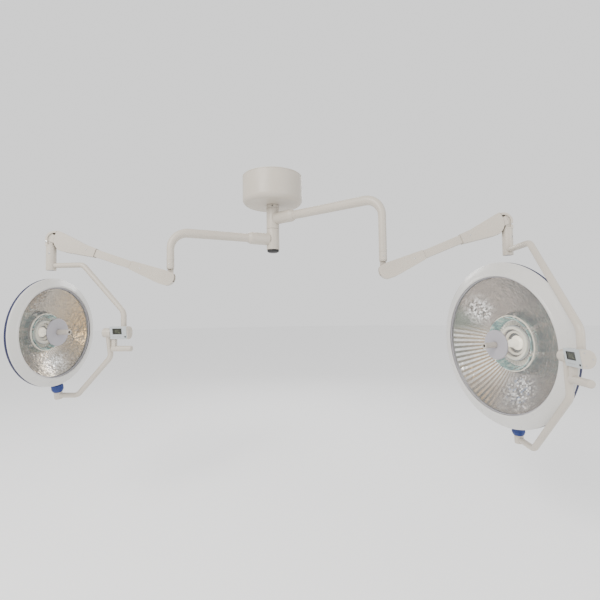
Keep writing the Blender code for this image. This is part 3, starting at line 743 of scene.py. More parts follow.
def build_knuckle(side, place):
    x = KNUCKLE_OFFSET
    tongue = moved(rod(0.026, -0.005, 0.005, 64), turn_about("X", 90, (x, 0, 0)))
    neck = [(-0.014, 0.0405), (-0.014, 0.012), (0.006, -0.004), (0.022, 0.012), (0.010, 0.0405)]
    whole = combined(tongue, prism(neck, -0.0046, 0.0046), "UNION")
    stem = [(0, 0.0395), (0.0172, 0.0395), (0.0172, 0.0425), (0.0145, 0.0425), (0.0145, 0.110), (0, 0.110)]
    whole = combined(whole, turned(stem, 48, closed=False), "UNION")
    whole = combined(whole, moved(rod(0.0043, -0.02, 0.02), turn_about("X", 90, (x, 0, 0))))
    piece(
        f"{side}_rear_swivel", "paint", whole, f"{side}_knuckle", place, [f"{side}_rear_knuckle"],
        bevel=0.0005
    )


def build_beam(side, lamp, place):
    body = f"{side}_beam"
    length = lamp["beam_length"]
    half_h = BEAM_HEIGHT / 2
    half_w = BEAM_WIDTH / 2
    wall = 0.0028
    tail = 0.018
    beam = block(-tail, length + tail, -half_w, half_w, -half_h, half_h)
    in_w = half_w - wall
    beam = combined(beam, block(-0.1, length + 0.1, -in_w, in_w, -half_h + wall, half_h - wall))
    for x0, x1 in ((-0.1, 0.062), (length - 0.062, length + 0.1)):
        beam = combined(beam, block(x0, x1, -in_w, in_w, -0.1, 0.1))
    piece(f"{side}_beam_profile", "paint", beam, body, place, [f"{side}_beam"], bevel=0.0022)
    for label, x in (("rear", 0.0), ("front", length)):
        pin = softened(
            [(0, -half_w), (0.004, -half_w), (0.004, half_w), (0, half_w)], [0, 0.0008, 0.0008, 0]
        )
        turned_pin = turned(pin, 40, closed=False)
        piece(
            f"{side}_{label}_pivot", "steel", turned_pin, body, place @ turn_about("X", 90, (x, 0, 0)),
            [f"{side}_{label}_pin"]
        )

    mouth = half_h
    r = KNUCKLE_RADIUS
    outline = [(0.170, -mouth - 0.003), (0.060, -0.036), (0.022, -0.0405)]
    outline += arc(0, 0, r, 252, 137, 28) + [(0.010, 0.031), (0.170, mouth + 0.003)]
    inner = [(0.160, -mouth - 0.0004), (0.060, -0.033), (0.022, -0.0372)]
    inner += arc(0, 0, r - 0.003, 252, 140, 20) + [(0.010, 0.028), (0.160, mouth + 0.0004)]
    rear = cover_shell(outline, inner, 0.170, (-0.06, 0.040, -0.010, 0.06))
    piece(f"{side}_rear_fairing", "paint", rear, body, place, [f"{side}_rear_cover"], bevel=0.0026)

    r = KNUCKLE_RADIUS + 0.0020
    end = length
    seam = [(end, r), (end + 0.003, 0.010), (end - 0.004, -0.018), (end - 0.014, -0.029)]
    outline = [(end - 0.190, mouth + 0.003), (end - 0.140, mouth + 0.0045), (end - 0.020, r - 0.001)]
    outline += softened(seam, 0.008, 5) + [
        (end - 0.032, -r), (end - 0.060, -r + 0.001), (end - 0.190, -mouth - 0.003)
    ]
    inner = [(end - 0.180, mouth + 0.0004), (end - 0.140, mouth + 0.0015), (end - 0.020, r - 0.0038)]
    inner += [(end + 0.05, r - 0.0030), (end + 0.05, -r + 0.0030), (end - 0.060, -r + 0.0038)]
    inner += [(end - 0.180, -mouth - 0.0004)]
    front = cover_shell(outline, inner, end - 0.18, None)
    piece(f"{side}_front_fairing", "paint", front, body, place, [f"{side}_front_cover"], bevel=0.0026)
    for x in (0.125, end - 0.150):
        for way in (-1, 1):
            seat = place @ Matrix.Translation((x, way * (half_w + 0.0039), 0)) @ turn_about("X", -90 * way)
            piece(
                f"{side}_fairing_screw_{'rear' if x < 0.2 else 'front'}_{'a' if way < 0 else 'b'}", "steel",
                cross_screw(0.0030), body, seat
            )


def build_front(side, place):
    """Round outer cap, web and foot of the front knuckle."""
    r = KNUCKLE_RADIUS - 0.0020
    low = -0.0325
    tongue = moved(rod(0.0250, -0.005, 0.005, 64), turn_about("X", 90))
    web = arc(0, 0, r, 75, 0, 20) + [(r, low), (0.009, low)]
    whole = combined(tongue, prism(web, -0.0130, 0.0130), "UNION")
    cap = arc(0, 0, r + 0.0001, 104, 0, 30) + [(r + 0.0001, low + 0.0005), (0.029, low + 0.0005)]
    cap += arc(0, 0, 0.0300, -15, 104, 24)
    whole = combined(whole, prism(cap, -0.0170, 0.0170), "UNION")
    ring = FRONT_HUB_RADIUS - 0.0005
    foot = [(0, -0.135), (0.0125, -0.135), (0.0125, -0.0335), (ring, -0.0335), (ring, -0.0262), (0, -0.0262)]
    foot = moved(turned(foot, 72, closed=False), Matrix.Translation((KNUCKLE_OFFSET, 0, 0)))
    whole = combined(whole, foot, "UNION")
    whole = combined(whole, moved(rod(0.0043, -0.05, 0.05), turn_about("X", 90)))
    piece(
        f"{side}_front_swivel", "paint", whole, f"{side}_front", place, [f"{side}_front_knuckle"],
        bevel=0.0011
    )
    dome = softened([(0, 0.0), (0.0042, 0.0), (0.0042, 0.0010), (0, 0.0016)], [0, 0, 0.0006, 0])
    for label, way in (("a", -1), ("b", 1)):
        seat = place @ Matrix.Translation((0.0345, way * 0.0169, -0.012)) @ turn_about("X", -90 * way)
        piece(f"{side}_front_rivet_{label}", "steel", turned(dome, 32, closed=False), f"{side}_front", seat)


# ---- yoke ----

def build_yoke(side, lamp, place):
    body = f"{side}_yoke"
    top = lamp["below"] - 0.0335 - GAP
    low = lamp["below"] - FRONT_HUB_BOTTOM
    tube_z = lamp["below"] - YOKE_TUBE_DROP
    sleeve = softened(
        [(0.0128, low), (FRONT_HUB_RADIUS, low), (FRONT_HUB_RADIUS, top), (0.0128, top)],
        [0, 0.0014, 0.0010, 0], closed=True
    )
    hub = turned(sleeve, 80)
    seat = turn_about("Z", lamp["screw_turn"], (0, 0, top - 0.034)) @ ALONG_X
    hub = combined(hub, moved(rod(0.0044, FRONT_HUB_RADIUS - 0.002, 0.05), seat))
    piece(f"{side}_yoke_sleeve", "paint", hub, body, place, [f"{side}_yoke_hub"], sharp=40)
    screw = moved(cap_screw(0.0041, 0.004), Matrix.Translation((0, 0, FRONT_HUB_RADIUS - 0.0002)))
    piece(f"{side}_yoke_brake_screw", "steel", screw, body, place @ seat)
    end_cap = softened(
        [(0, low - 0.0006), (0.0122, low - 0.0006), (0.0122, low + 0.008), (0, low + 0.008)],
        [0, 0.0006, 0, 0]
    )
    piece(f"{side}_yoke_end_cap", "disc", turned(end_cap, 48, closed=False), body, place)

    x = lamp["yoke_reach"]
    corners = [(FRONT_HUB_RADIUS - 0.002, 0, tube_z), (lamp["corner_reach"], 0, tube_z)]
    corners += [(x, 0, lamp["bend_height"]), (x, 0, BOX_HEIGHT / 2 - 0.008)]
    path = rounded_path(corners, [0.040, 0.055], 14)
    tube = swept_tube(path, [YOKE_TUBE_RADIUS] * len(path), 48)
    piece(f"{side}_yoke_pipe", "paint", tube, body, place, [f"{side}_upper_yoke"], sharp=40)
    weld = turned(
        softened([(0.0112, 0), (0.0136, 0), (0.0122, 0.0030), (0.0112, 0.0030)], 0.0008, closed=True), 48
    )
    piece(
        f"{side}_yoke_weld", "paint", weld, body,
        place @ Matrix.Translation((x, 0, BOX_HEIGHT / 2 - 0.0005))
    )

    start = lamp["reach"] + PIVOT_SLEEVE_LENGTH / 2 + GAP
    build_box(side, lamp, body, place, start)


def box_section(shrink=0.0, steps=24):
    """(y, z) outline of the box: slanted display face at -Y, rounded back at +Y."""
    half = BOX_HEIGHT / 2 - shrink
    back = BOX_DEPTH / 2 - shrink
    front = [(-back + 0.009, -half), (-back, half - 0.001), (-back + 0.002, half)]
    return front + [(y * back / half, z) for y, z in arc(0, 0, half, 90, -90, steps)]


def build_box(side, lamp, body, place, start):
    end = start + BOX_LENGTH
    seam = end - 0.0045
    tilt = math.degrees(math.atan2(0.009, BOX_HEIGHT - 0.001))
    face = turn_about(
        "Z", 180, (start + BOX_LENGTH / 2, -BOX_DEPTH / 2 + 0.0045, 0)
    ) @ turn_about("X", -tilt)
    low_x, high_x = SCREEN_SHIFT - SCREEN_WIDTH / 2, SCREEN_SHIFT + SCREEN_WIDTH / 2
    low_z, high_z = SCREEN_LIFT - SCREEN_HEIGHT / 2, SCREEN_LIFT + SCREEN_HEIGHT / 2
    key_at = face @ Matrix.Translation((-BOX_LENGTH / 2 + 0.013, 0, -0.019)) @ ALONG_Y

    case = along_x(box_section(), start, seam - 0.0004)
    case = combined(case, moved(block(low_x, high_x, -0.0022, 0.01, low_z, high_z), face))
    case = combined(case, moved(rod(0.0036, -0.0030, 0.01), key_at))
    piece(f"{side}_box_case", "box", case, body, place, [f"{side}_control_box"], bevel=0.0014)
    lid = along_x(box_section(), seam, end)
    piece(f"{side}_box_lid", "paint", lid, body, place, bevel=0.0016)
    for label, (y, z) in (("top", (-0.011, 0.019)), ("low", (-0.006, -0.020)), ("back", (0.014, 0.0))):
        seat = place @ Matrix.Translation((end + 0.0001, y, z)) @ ALONG_X
        piece(f"{side}_lid_screw_{label}", "steel", cross_screw(0.0022), body, seat)

    rim = 0.0016
    window = block(low_x + GAP, high_x - GAP, -0.0020, -0.0006, low_z + GAP, high_z - GAP)
    piece(f"{side}_screen", "screen", window, body, place @ face, [f"{side}_display"], bevel=0.0003)
    frame_out = block(low_x - rim, high_x + rim, -0.001, 0.0005, low_z - rim, high_z + rim)
    frame_out = combined(
        frame_out, block(low_x + 0.0004, high_x - 0.0004, -0.01, 0.01, low_z + 0.0004, high_z - 0.0004)
    )
    piece(f"{side}_screen_frame", "key", frame_out, body, place @ face, bevel=0.0003)
    piece(f"{side}_screen_digits", "digit", numerals(low_x, high_x, low_z, high_z), body, place @ face)

    key = softened([(0, -0.0028), (0.0031, -0.0028), (0.0031, 0.0012), (0, 0.0015)], [0, 0, 0.0008, 0])
    piece(
        f"{side}_power_button", "key", turned(key, 40, closed=False), f"{side}_key", place @ key_at,
        [f"{side}_power_key"]
    )
    for k, x_at in enumerate((0.031, 0.021, 0.011, 0.001)):
        pad = softened(
            [(-0.0032, -0.0020), (0.0032, -0.0020), (0.0032, 0.0020), (-0.0032, 0.0020)], 0.0012,
            closed=True
        )
        seat = place @ face @ Matrix.Translation((x_at - 0.004, 0, -0.019))
        piece(f"{side}_key_pad_{k + 1}", "pad", prism(pad, -0.0010, 0.0005), body, seat, bevel=0.0002)

    bar_start = start + 0.001
    strip = block(start + 0.002, start + 0.019, -0.009, 0.009, -HANDLE_DROP + 0.003, -BOX_HEIGHT / 2 - GAP)
    bar = [(0, bar_start), (HANDLE_RADIUS, bar_start), (HANDLE_RADIUS, start + 0.095), (0, start + 0.095)]
    bar = turned(softened(bar, [0, 0.0020, 0.0045, 0], 6), 56, closed=False)
    handle = combined(moved(bar, Matrix.Translation((0, 0, -HANDLE_DROP)) @ ALONG_X), strip, "UNION")
    piece(f"{side}_grip_handle", "paint", handle, body, place, [f"{side}_side_handle"], bevel=0.0012)


def numerals(low_x, high_x, low_z, high_z):
    """Two seven-segment figures and a level bar, raised a hair from the screen."""
    lit = {"8": "abcdefg", "0": "abcdef"}
    places = {
        "a": (0, 1, 0), "g": (0, 0, 0), "d": (0, -1, 0), "b": (0.5, 0.5, 1), "c": (0.5, -0.5, 1),
        "f": (-0.5, 0.5, 1), "e": (-0.5, -0.5, 1)
    }
    wide, tall, stroke = 0.0062, 0.0052, 0.0007
    centre_x, centre_z = (low_x + high_x) / 2, (low_z + high_z) / 2
    parts = []
    for order, figure in enumerate("80"):
        x_at = centre_x + 0.0055 - order * 0.0105
        for name in lit[figure]:
            right, up, upright = places[name]
            x, z = x_at - right * wide, centre_z + up * tall
            half_x, half_z = (stroke, tall * 0.40) if upright else (wide * 0.38, stroke)
            parts.append(block(x - half_x, x + half_x, -0.0006, -0.0004, z - half_z, z + half_z))
    for k in range(5):
        x = low_x + 0.004 + k * 0.0022
        parts.append(block(x, x + 0.0014, -0.0006, -0.0004, low_z + 0.003, low_z + 0.005 + k * 0.0012))
    return merged(*parts)


def build_cradle(side, lamp, place):
    body = f"{side}_cradle"
    reach = lamp["reach"]
    half = PIVOT_SLEEVE_LENGTH / 2
    drop = lamp["radius"] - lamp["pivot_drop"] + 0.059
    barrel = [
        (0, reach - half), (PIVOT_SLEEVE_RADIUS, reach - half), (PIVOT_SLEEVE_RADIUS, reach + half),
        (0, reach + half)
    ]
    sleeve = turned(softened(barrel, [0, 0.0022, 0.0012, 0], 6), 72, closed=False)
    down = lamp["radius"] * 0.22 + 0.060
    across = drop - down
    corners = [(reach, 0, -0.010), (reach, 0, -down), (reach - across, 0, -drop), (0.010, 0, -drop)]
    path = rounded_path(corners, [0.045, 0.045], 14)
    tube = swept_tube(path, [YOKE_TUBE_RADIUS] * len(path), 48)
    whole = combined(moved(sleeve, ALONG_X), tube, "UNION")
    hub = softened(
        [
            (0, -drop - 0.0165), (END_HUB_RADIUS, -drop - 0.0165), (END_HUB_RADIUS, -drop + 0.0172),
            (0, -drop + 0.0172)
        ],
        [0, 0.0020, 0.0010, 0], 5
    )
    whole = combined(whole, turned(hub, 64, closed=False), "UNION")
    piece(
        f"{side}_cradle_pipe", "paint", whole, body, place, [f"{side}_lower_yoke"], bevel=0.0010,
        bevel_steps=2
    )
    washer = softened(
        [(0.0098, -0.0003), (0.0150, -0.0003), (0.0150, 0.0009), (0.0098, 0.0009)], 0.0004, closed=True
    )
    piece(
        f"{side}_hub_screw", "steel", cross_screw(0.0045), body,
        place @ turn_about("X", 180, (0, 0, -drop - 0.0165))
    )
    piece(
        f"{side}_hub_washer", "steel", turned(washer, 48), body,
        place @ turn_about("X", 180, (0, 0, -drop - 0.0165))
    )


# ---- head ----

def build_knob(side, lamp, place):
    """Ribbed blue friction knob."""
    rim = lamp["radius"] - lamp["pivot_drop"]
    top = rim + 0.004
    low = rim + 0.0415
    stud = rim + lamp["stud_gap"]
    post = lamp["stud_radius"]
    outline = [(0, -low - 0.0002), (KNOB_RADIUS - 0.007, -low - 0.0002), (KNOB_RADIUS - 0.003, -low + 0.004)]
    outline += [
        (KNOB_RADIUS - 0.0006, -low + 0.013), (KNOB_RADIUS - 0.0006, -top - 0.006),
        (KNOB_RADIUS - 0.004, -top)
    ]
    outline += [(post, -top), (post, -stud), (0, -stud)]
    body = turned(softened(outline, [0, 0.003, 0.003, 0.004, 0.003, 0.003, 0, 0, 0], 5), 96, closed=False)
    ribs = [body]
    for k in range(24):
        spot = turn_about("Z", 15.0 * k) @ Matrix.Translation((KNOB_RADIUS - 0.0008, 0, 0))
        rib = [(0, -low + 0.010), (0.0011, -low + 0.012), (0.0011, -top - 0.008), (0, -top - 0.006)]
        ribs.append(moved(turned(rib, 10, closed=False), spot))
    piece(
        f"{side}_friction_knob", "knob", merged(*ribs), f"{side}_head", place, [f"{side}_pivot_knob"],
        sharp=40
    )


def paint_facet_reflections(bm, lamp, seed, painted_reflection):
    """Gives each facet its own tint from the given function, in a colour attribute: the painted reflections
    and highlights of the bowl.
    """
    rng = random.Random(seed)
    layer = bm.loops.layers.float_color.new("painted_reflection")
    glass = lamp["radius"] * 0.832
    for face in bm.faces:
        centre = face.calc_center_median()
        ratio = math.hypot(centre.x, centre.y) / glass
        turn = math.degrees(math.atan2(centre.y, centre.x)) % 360
        colour = painted_reflection(ratio, turn, rng)
        for loop in face.loops:
            loop[layer] = (*colour, 1.0)


def near(turn, centre, width):
    gap = abs((turn - centre + 180) % 360 - 180)
    return max(0.0, 1.0 - gap / width)


def mixed(first, second, amount):
    amount = max(0.0, min(1.0, amount))
    return tuple(a + (b - a) * amount for a, b in zip(first, second))


FACET_TURN = 2.5
# Colours of the painted reflections and painted highlights on the facets.
PAINTED_TAUPE_REFLECTION = (0.155, 0.120, 0.092)
PAINTED_HIGHLIGHT = (0.97, 0.96, 0.94)
PAINTED_AMBER_REFLECTION = (0.50, 0.32, 0.12)
PAINTED_MOSS_REFLECTION = (0.085, 0.100, 0.065)
PAINTED_UMBER_REFLECTION = (0.030, 0.022, 0.016)
PAINTED_BLUE_REFLECTION = (0.30, 0.37, 0.52)


# Painted reflections for the major bowl: a dark taupe ground, striped bright fans, dark moss and umber
# zones, scattered bright glints and a bright ring.
def major_painted_reflection(ratio, turn, rng):
    colour = mixed(PAINTED_TAUPE_REFLECTION, (0.300, 0.245, 0.200), rng.random())
    stripe = 1.0 if int(turn / FACET_TURN) % 2 else 0.0
    fan = near(turn, 118, 62) * (1.0 - abs(ratio - 0.55) / 0.6)
    colour = mixed(colour, PAINTED_HIGHLIGHT if stripe else PAINTED_AMBER_REFLECTION, fan * 1.5)
    outer = near(turn, 100, 34) * max(0.0, ratio - 0.55) * 2.4
    colour = mixed(colour, PAINTED_HIGHLIGHT if stripe else PAINTED_MOSS_REFLECTION, outer)
    moss = near(turn, 66, 18) * max(0.0, ratio - 0.45) * 3.0
    colour = mixed(colour, PAINTED_MOSS_REFLECTION, moss)
    spark = near(turn, 45, 24) * (1.0 - abs(ratio - 0.72) / 0.25)
    if spark > 0:
        colour = mixed(colour, PAINTED_HIGHLIGHT if rng.random() > 0.22 else PAINTED_UMBER_REFLECTION, rng.random() * spark * 1.6)
    low = near(turn, 192, 30) * (1.0 - abs(ratio - 0.68) / 0.30)
    if low > 0:
        glint = rng.choice((PAINTED_HIGHLIGHT, PAINTED_HIGHLIGHT, PAINTED_HIGHLIGHT, PAINTED_BLUE_REFLECTION, PAINTED_UMBER_REFLECTION))
        colour = mixed(colour, glint, rng.random() * low * 1.8)
    edge = near(turn, 152, 22) * max(0.0, ratio - 0.6) * 2.5
    colour = mixed(colour, PAINTED_AMBER_REFLECTION if stripe else PAINTED_UMBER_REFLECTION, edge)
    ring = max(0.0, 1.0 - abs(ratio - 0.33) / 0.10)
    return mixed(colour, PAINTED_HIGHLIGHT, ring * 0.8)


# Painted reflections for the minor bowl: a brown ground, an amber zone, bright glint patches, a bright facet
# grid and a striped fan.
def minor_painted_reflection(ratio, turn, rng):
    colour = mixed((0.22, 0.180, 0.130), (0.42, 0.36, 0.28), rng.random())
    painted_amber_zone = near(turn, 270, 80) * max(0.0, ratio - 0.25) * 1.6
    colour = mixed(colour, PAINTED_AMBER_REFLECTION if rng.random() > 0.35 else (0.20, 0.13, 0.06), painted_amber_zone)
    bright = near(turn, 45, 40) * (1.0 - abs(ratio - 0.72) / 0.35)
    if bright > 0:
        colour = mixed(colour, PAINTED_HIGHLIGHT, rng.random() * bright * 1.8)
    low = near(turn, 188, 30) * (1.0 - abs(ratio - 0.72) / 0.30)
    if low > 0:
        colour = mixed(colour, PAINTED_HIGHLIGHT, rng.random() * low * 1.8)
    grid = near(turn, 90, 32) * max(0.0, ratio - 0.5) * 2.0
    colour = mixed(colour, PAINTED_HIGHLIGHT if rng.random() > 0.4 else (0.34, 0.27, 0.19), grid)
    fan = near(turn, 190, 75) * (1.0 - abs(ratio - 0.42) / 0.22)
    return mixed(colour, PAINTED_HIGHLIGHT if int(turn / FACET_TURN) % 2 else PAINTED_AMBER_REFLECTION, fan * 1.2)


def build_reflector(side, lamp, place, lens_top):
    """Bowl of flat facets, each tipped a little out of true."""
    rng = random.Random(lamp["seed"])
    glass = lamp["radius"] * 0.832
    rim = glass - 0.004
    depth = lamp["reflector_depth"]
    rim_z = lens_top - 0.010
    hole = 0.042
    rings = 38 if side == "major" else 30
    columns = round(360 / FACET_TURN)
    bm = bmesh.new()
    rows = []
    for i in range(rings + 1):
        r = hole + (rim - hole) * (i / rings)
        row = []
        for k in range(columns):
            a = 2 * math.pi * k / columns
            shake = 0.0 if i in (0, rings) else rng.uniform(-0.00055, 0.00055) * (r / rim + 0.3)
            z = rim_z - depth + depth * (r / rim) ** 2 + shake
            row.append(bm.verts.new((r * math.cos(a), r * math.sin(a), z)))
        rows.append(row)
    for low, high in zip(rows, rows[1:]):
        for k in range(columns):
            nxt = (k + 1) % columns
            bm.faces.new((low[k], low[nxt], high[nxt], high[k]))
    # The facets' base colours carry painted reflections and highlights.
    painted_reflection = major_painted_reflection if side == "major" else minor_painted_reflection
    paint_facet_reflections(bm, lamp, lamp["seed"] + 50, painted_reflection)
    made = piece(f"{side}_facet_mirror", "mirror", bm, f"{side}_head", place, [f"{side}_reflector"])
    made.data.shade_flat()
    skin = made.modifiers.new("sheet", "SOLIDIFY")
    skin.thickness = 0.0014
    skin.offset = -1.0


def build_burner(side, lamp, place, lens_top):
    """Bulb, its rings and the heat-filter drum that stands round it in the bowl."""
    body = f"{side}_head"
    scale = lamp["radius"] / 0.350
    base = lens_top - 0.010 - lamp["reflector_depth"]
    at = place @ Matrix.Translation((0, 0, base))
    s = scale
    bulb = [
        (0, 0.004), (0.030 * s, 0.004), (0.032 * s, 0.012), (0.020 * s, 0.020), (0.017 * s, 0.046 * s),
        (0.010 * s, 0.058 * s), (0, 0.061 * s)
    ]
    piece(
        f"{side}_bulb", "lamp",
        turned(softened(bulb, [0, 0.002, 0.002, 0.003, 0.004, 0.004, 0], 5), 56, closed=False), body, at,
        [f"{side}_lamp_module"]
    )
    for k, (r, z, wide, tall, finish) in enumerate((
        (0.048, 0.014, 0.0050, 0.010, "ceramic"), (0.066, 0.024, 0.0060, 0.012, "ceramic"),
        (0.074, 0.022, 0.0016, 0.006, "steel"), (0.119, 0.042, 0.0024, 0.006, "ceramic"),
    )):
        ring = [
            (r * s - wide, z * s), (r * s + wide, z * s), (r * s + wide, z * s + tall),
            (r * s - wide, z * s + tall)
        ]
        ring = turned(softened(ring, min(wide, tall) * 0.45, 5, closed=True), 96)
        piece(f"{side}_burner_ring_{k + 1}", finish, ring, body, at)
    panels = []
    count = 6
    for k in range(count):
        steps = 12
        bm = bmesh.new()
        columns = []
        for i in range(steps + 1):
            a = math.radians((k + (i / steps) * 0.86) * 360 / count + 12)
            column = []
            for r, z in ((0.098, 0.012), (0.112, 0.050), (0.1145, 0.0495), (0.1005, 0.0115)):
                column.append(bm.verts.new((r * s * math.cos(a), r * s * math.sin(a), z * s + 0.008)))
            columns.append(column)
        for left, right in zip(columns, columns[1:]):
            for j in range(4):
                nxt = (j + 1) % 4
                bm.faces.new((left[j], left[nxt], right[nxt], right[j]))
        bm.faces.new(columns[0])
        bm.faces.new(columns[-1])
        bmesh.ops.recalc_face_normals(bm, faces=bm.faces)
        panels.append(bm)
    piece(f"{side}_filter_drum", "filter", merged(*panels), body, at, sharp=30)
    ribs = []
    for k in range(40):
        fin = block(0.078 * s, 0.096 * s, -0.0009, 0.0009, 0.004, 0.012 + 0.010 * s)
        ribs.append(moved(fin, turn_about("Z", 9 * k)))
    piece(f"{side}_cooling_fins", "ceramic", merged(*ribs), body, at, bevel=0.0003, bevel_steps=2)


def build_head(side, lamp, place, turn_place):
    body = f"{side}_head"
    radius = lamp["radius"]
    glass = radius * 0.832
    front = 0.025 * radius / 0.35
    back = -0.001

    crown = [(radius - 0.0010, back), (radius, 0.0010), (radius - 0.0012, 0.0035), (radius - 0.006, 0.0060)]
    crown += [
        (radius * 0.925, front * 0.66), (glass + 0.012, front - 0.0016), (glass + 0.009, front + 0.0006)
    ]
    crown += [(glass + 0.002, front + 0.0006), (glass, front - 0.003)]
    crown += [(radius - 0.012, 0.0020), (radius - 0.012, back)]
    crown = softened(
        crown, [0, 0.0015, 0.0015, 0.006, 0.02, 0.002, 0.0015, 0.0012, 0.001, 0.002, 0], 5, closed=True
    )
    piece(f"{side}_bezel_ring", "bezel", turned(crown, 160), body, place, [f"{side}_bezel"], sharp=40)

    edge = back - 0.0050
    lip = edge - 0.0060
    trim = [(radius - 0.018, back - GAP), (radius - 0.0012, back - GAP)]
    trim += [(radius - 0.0004, (back + edge) / 2), (radius - 0.0006, lip), (radius - 0.0040, lip)]
    trim += [(radius - 0.0046, edge), (radius - 0.018, edge)]
    piece(
        f"{side}_edge_trim", "trim", turned(softened(trim, 0.0008, closed=True), 160), body, place,
        [f"{side}_trim_ring"], sharp=50
    )

    edge -= GAP
    deep = lamp["shell_depth"]
    wall = 0.0028
    outside = [(radius - 0.014, edge), (radius * 0.86, -0.30 * deep), (radius * 0.76, -0.55 * deep)]
    outside += [(radius * 0.60, -0.80 * deep), (radius * 0.38, -0.95 * deep), (radius * 0.30, -0.972 * deep)]
    outside += [(radius * 0.298, -0.968 * deep - 0.002), (radius * 0.285, -0.972 * deep - 0.003), (0, -deep)]
    smooth = softened(outside, [0, 0.05, 0.05, 0.05, 0.02, 0.001, 0.001, 0.003, 0], 10)
    inside = [
        (0, -deep + wall), (radius * 0.38, -0.95 * deep + wall + 0.001),
        (radius * 0.60 - 0.004, -0.80 * deep + wall + 0.001)
    ]
    inside += [
        (radius * 0.76 - 0.007, -0.55 * deep + 0.002), (radius * 0.86 - 0.006, -0.30 * deep),
        (radius - 0.019, edge)
    ]
    shell = turned(smooth + softened(inside, [0, 0.02, 0.05, 0.05, 0.05, 0], 8), 144)
    seat = radius - lamp["pivot_drop"] + lamp["stud_gap"] - GAP
    boss = moved(rod(lamp["stud_radius"] + 0.002, -seat, -seat + 0.018, 40), place.inverted() @ turn_place)
    shell = combined(shell, boss, "UNION")
    piece(f"{side}_rear_dome", "shell", shell, body, place, [f"{side}_back_shell"], sharp=40)
    for k in range(3):
        spoke = place @ turn_about("Z", 120 * k + 20)
        seat = spoke @ Matrix.Translation((radius * 0.25, 0, -0.972 * deep - 0.0030)) @ turn_about("X", 180)
        piece(f"{side}_lid_fastener_{k + 1}", "steel", cross_screw(0.0050), body, seat)

    lens_top = front - 0.0095
    rim = glass + 0.004
    lens = [(0.0303, lens_top - 0.004), (rim, lens_top - 0.004), (rim, lens_top), (0.0303, lens_top)]
    piece(
        f"{side}_cover_glass", "front_glass", turned(softened(lens, 0.0006, closed=True), 144), body, place,
        [f"{side}_front_glass"]
    )
    gasket = [
        (glass - 0.0045, lens_top + 0.0001), (glass - 0.0002, lens_top + 0.0001),
        (glass - 0.0002, lens_top + 0.0040), (glass - 0.0030, lens_top + 0.0030)
    ]
    piece(f"{side}_glass_gasket", "disc", turned(softened(gasket, 0.0008, closed=True), 144), body, place)
    build_reflector(side, lamp, place, lens_top)
    build_burner(side, lamp, place, lens_top)

    low = lens_top + GAP
    disc = [
        (0.0134, low - 0.014), (0.0298, low - 0.014), (0.0298, low), (DISC_RADIUS, low),
        (DISC_RADIUS, low + 0.0030)
    ]
    disc += [(DISC_RADIUS - 0.003, low + 0.0062), (0.0200, low + 0.0072), (0.0134, low + 0.0070)]
    disc = turned(softened(disc, [0, 0, 0, 0.0005, 0.001, 0.002, 0.002, 0], 5, closed=True), 112)
    piece(f"{side}_hub_disc", "disc", disc, body, place, [f"{side}_centre_disc"], sharp=40)

    tip = low + 0.006 + SOCKET_LENGTH
    socket = [
        (0, low - 0.012), (SOCKET_RADIUS, low - 0.012), (SOCKET_RADIUS, tip), (0.0070, tip),
        (0.0070, tip - 0.036), (0, tip - 0.040)
    ]
    socket = turned(softened(socket, [0, 0, 0.0016, 0.0008, 0, 0], 5), 64, closed=False)
    groove = turned(
        [
            (SOCKET_RADIUS - 0.0008, tip - 0.012), (0.02, tip - 0.012), (0.02, tip - 0.0100),
            (SOCKET_RADIUS - 0.0008, tip - 0.0100)
        ],
        64
    )
    socket = combined(socket, groove)
    piece(
        f"{side}_handle_stub", "socket", socket, f"{side}_focus", place, [f"{side}_handle_socket"], sharp=40
    )
    bore = turned(
        [
            (0, tip - 0.0385), (0.0068, tip - 0.0385), (0.0068, tip - 0.006), (0.0060, tip - 0.006),
            (0.0060, tip - 0.036), (0, tip - 0.036)
        ],
        40, closed=False
    )
    piece(f"{side}_stub_liner", "black", bore, f"{side}_focus", place)


def carry_over():
    """CAD nodes whose shape is right as it is: they only take a better finish."""
    for side in HEADS:
        for name in (f"{side}_tie_rod", f"{side}_balance_spring"):
            node = frame["nodes"][name]
            node.data.materials.clear()
            node.data.materials.append(FINISHES["steel"])


# ---- stage, light and camera ----

def area_light(name, place, target, size, power, colour):
    lamp = bpy.data.lights.new(name, "AREA")
    lamp.shape = "RECTANGLE"
    lamp.size, lamp.size_y = size
    lamp.energy = power
    lamp.color = colour
    made = bpy.data.objects.new(name, lamp)
    made.location = place
    made.rotation_euler = (Vector(target) - Vector(place)).to_track_quat("-Z", "Y").to_euler()
    bpy.context.scene.collection.objects.link(made)


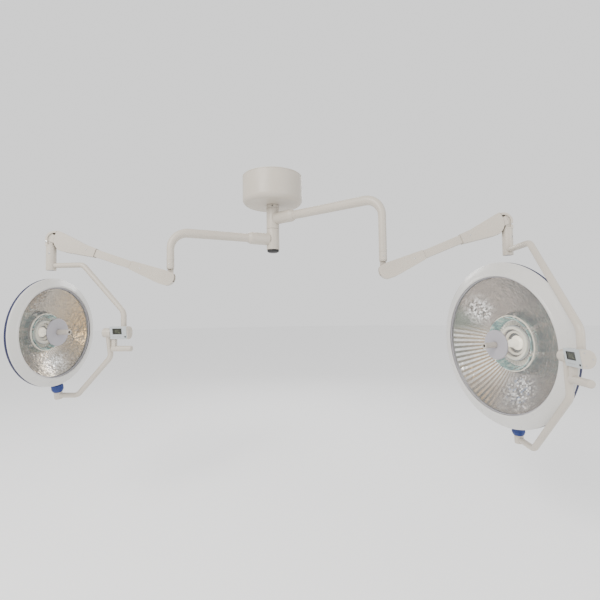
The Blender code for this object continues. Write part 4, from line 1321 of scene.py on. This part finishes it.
def build_stage():
    bm = bmesh.new()
    bmesh.ops.create_circle(bm, cap_ends=True, segments=64, radius=30)
    bmesh.ops.translate(bm, verts=bm.verts, vec=(0, 0, cad_box[0][2] - 0.45))
    mesh = bpy.data.meshes.new("floor")
    bm.to_mesh(mesh)
    bm.free()
    floor = bpy.data.objects.new("floor", mesh)
    bpy.context.scene.collection.objects.link(floor)
    finish, nodes, _ = new_material("floor_finish")
    shader = nodes["Principled BSDF"]
    shader.inputs["Base Color"].default_value = (0.93, 0.93, 0.93, 1.0)
    shader.inputs["Roughness"].default_value = 0.9
    mesh.materials.append(finish)

    world = bpy.data.worlds.new("studio")
    world.use_nodes = True
    world.node_tree.nodes["Background"].inputs["Color"].default_value = (1.0, 1.0, 1.0, 1.0)
    world.node_tree.nodes["Background"].inputs["Strength"].default_value = 1.25
    bpy.context.scene.world = world
    area_light("key", (-2.2, -3.0, 1.6), (0, 0, -0.7), (1.8, 1.8), 170, (1.0, 0.97, 0.93))
    area_light("fill", (2.6, -2.6, -0.2), (0.3, 0, -0.8), (1.5, 1.5), 30, (0.96, 0.98, 1.0))
    area_light("back", (0.4, 2.6, 1.0), (0, 0, -0.6), (2.0, 1.0), 40, (1.0, 1.0, 1.0))


def build_camera():
    yaw, pitch, roll = CAMERA_TURN
    lens = bpy.data.cameras.new("camera")
    lens.sensor_width = 36.0
    lens.lens = CAMERA_LENS
    camera = bpy.data.objects.new("camera", lens)
    ahead = Vector((math.sin(yaw) * math.cos(pitch), math.cos(yaw) * math.cos(pitch), math.sin(pitch)))
    right = Vector((math.cos(yaw), -math.sin(yaw), 0))
    above = right.cross(ahead)
    tilted_right = right * math.cos(roll) + above * math.sin(roll)
    tilted_up = above * math.cos(roll) - right * math.sin(roll)
    place = Matrix((tilted_right, tilted_up, -ahead)).transposed().to_4x4()
    place.translation = CAMERA_PLACE
    camera.matrix_world = place
    bpy.context.scene.collection.objects.link(camera)
    bpy.context.scene.camera = camera


build_ceiling()
for side, sizes in HEADS.items():
    lamp = {**lamp_frames(side), **sizes, "screw_turn": 35 if side == "major" else -75}
    build_arm(side, lamp, lamp["arm"])
    build_knuckle(side, lamp["knuckle"])
    build_beam(side, lamp, lamp["beam"])
    build_front(side, lamp["front"])
    build_yoke(side, lamp, lamp["yoke"])
    build_cradle(side, lamp, lamp["cradle"])
    build_knob(side, lamp, lamp["turn"])
    build_head(side, lamp, lamp["head"], lamp["turn"])
carry_over()
build_stage()
build_camera()
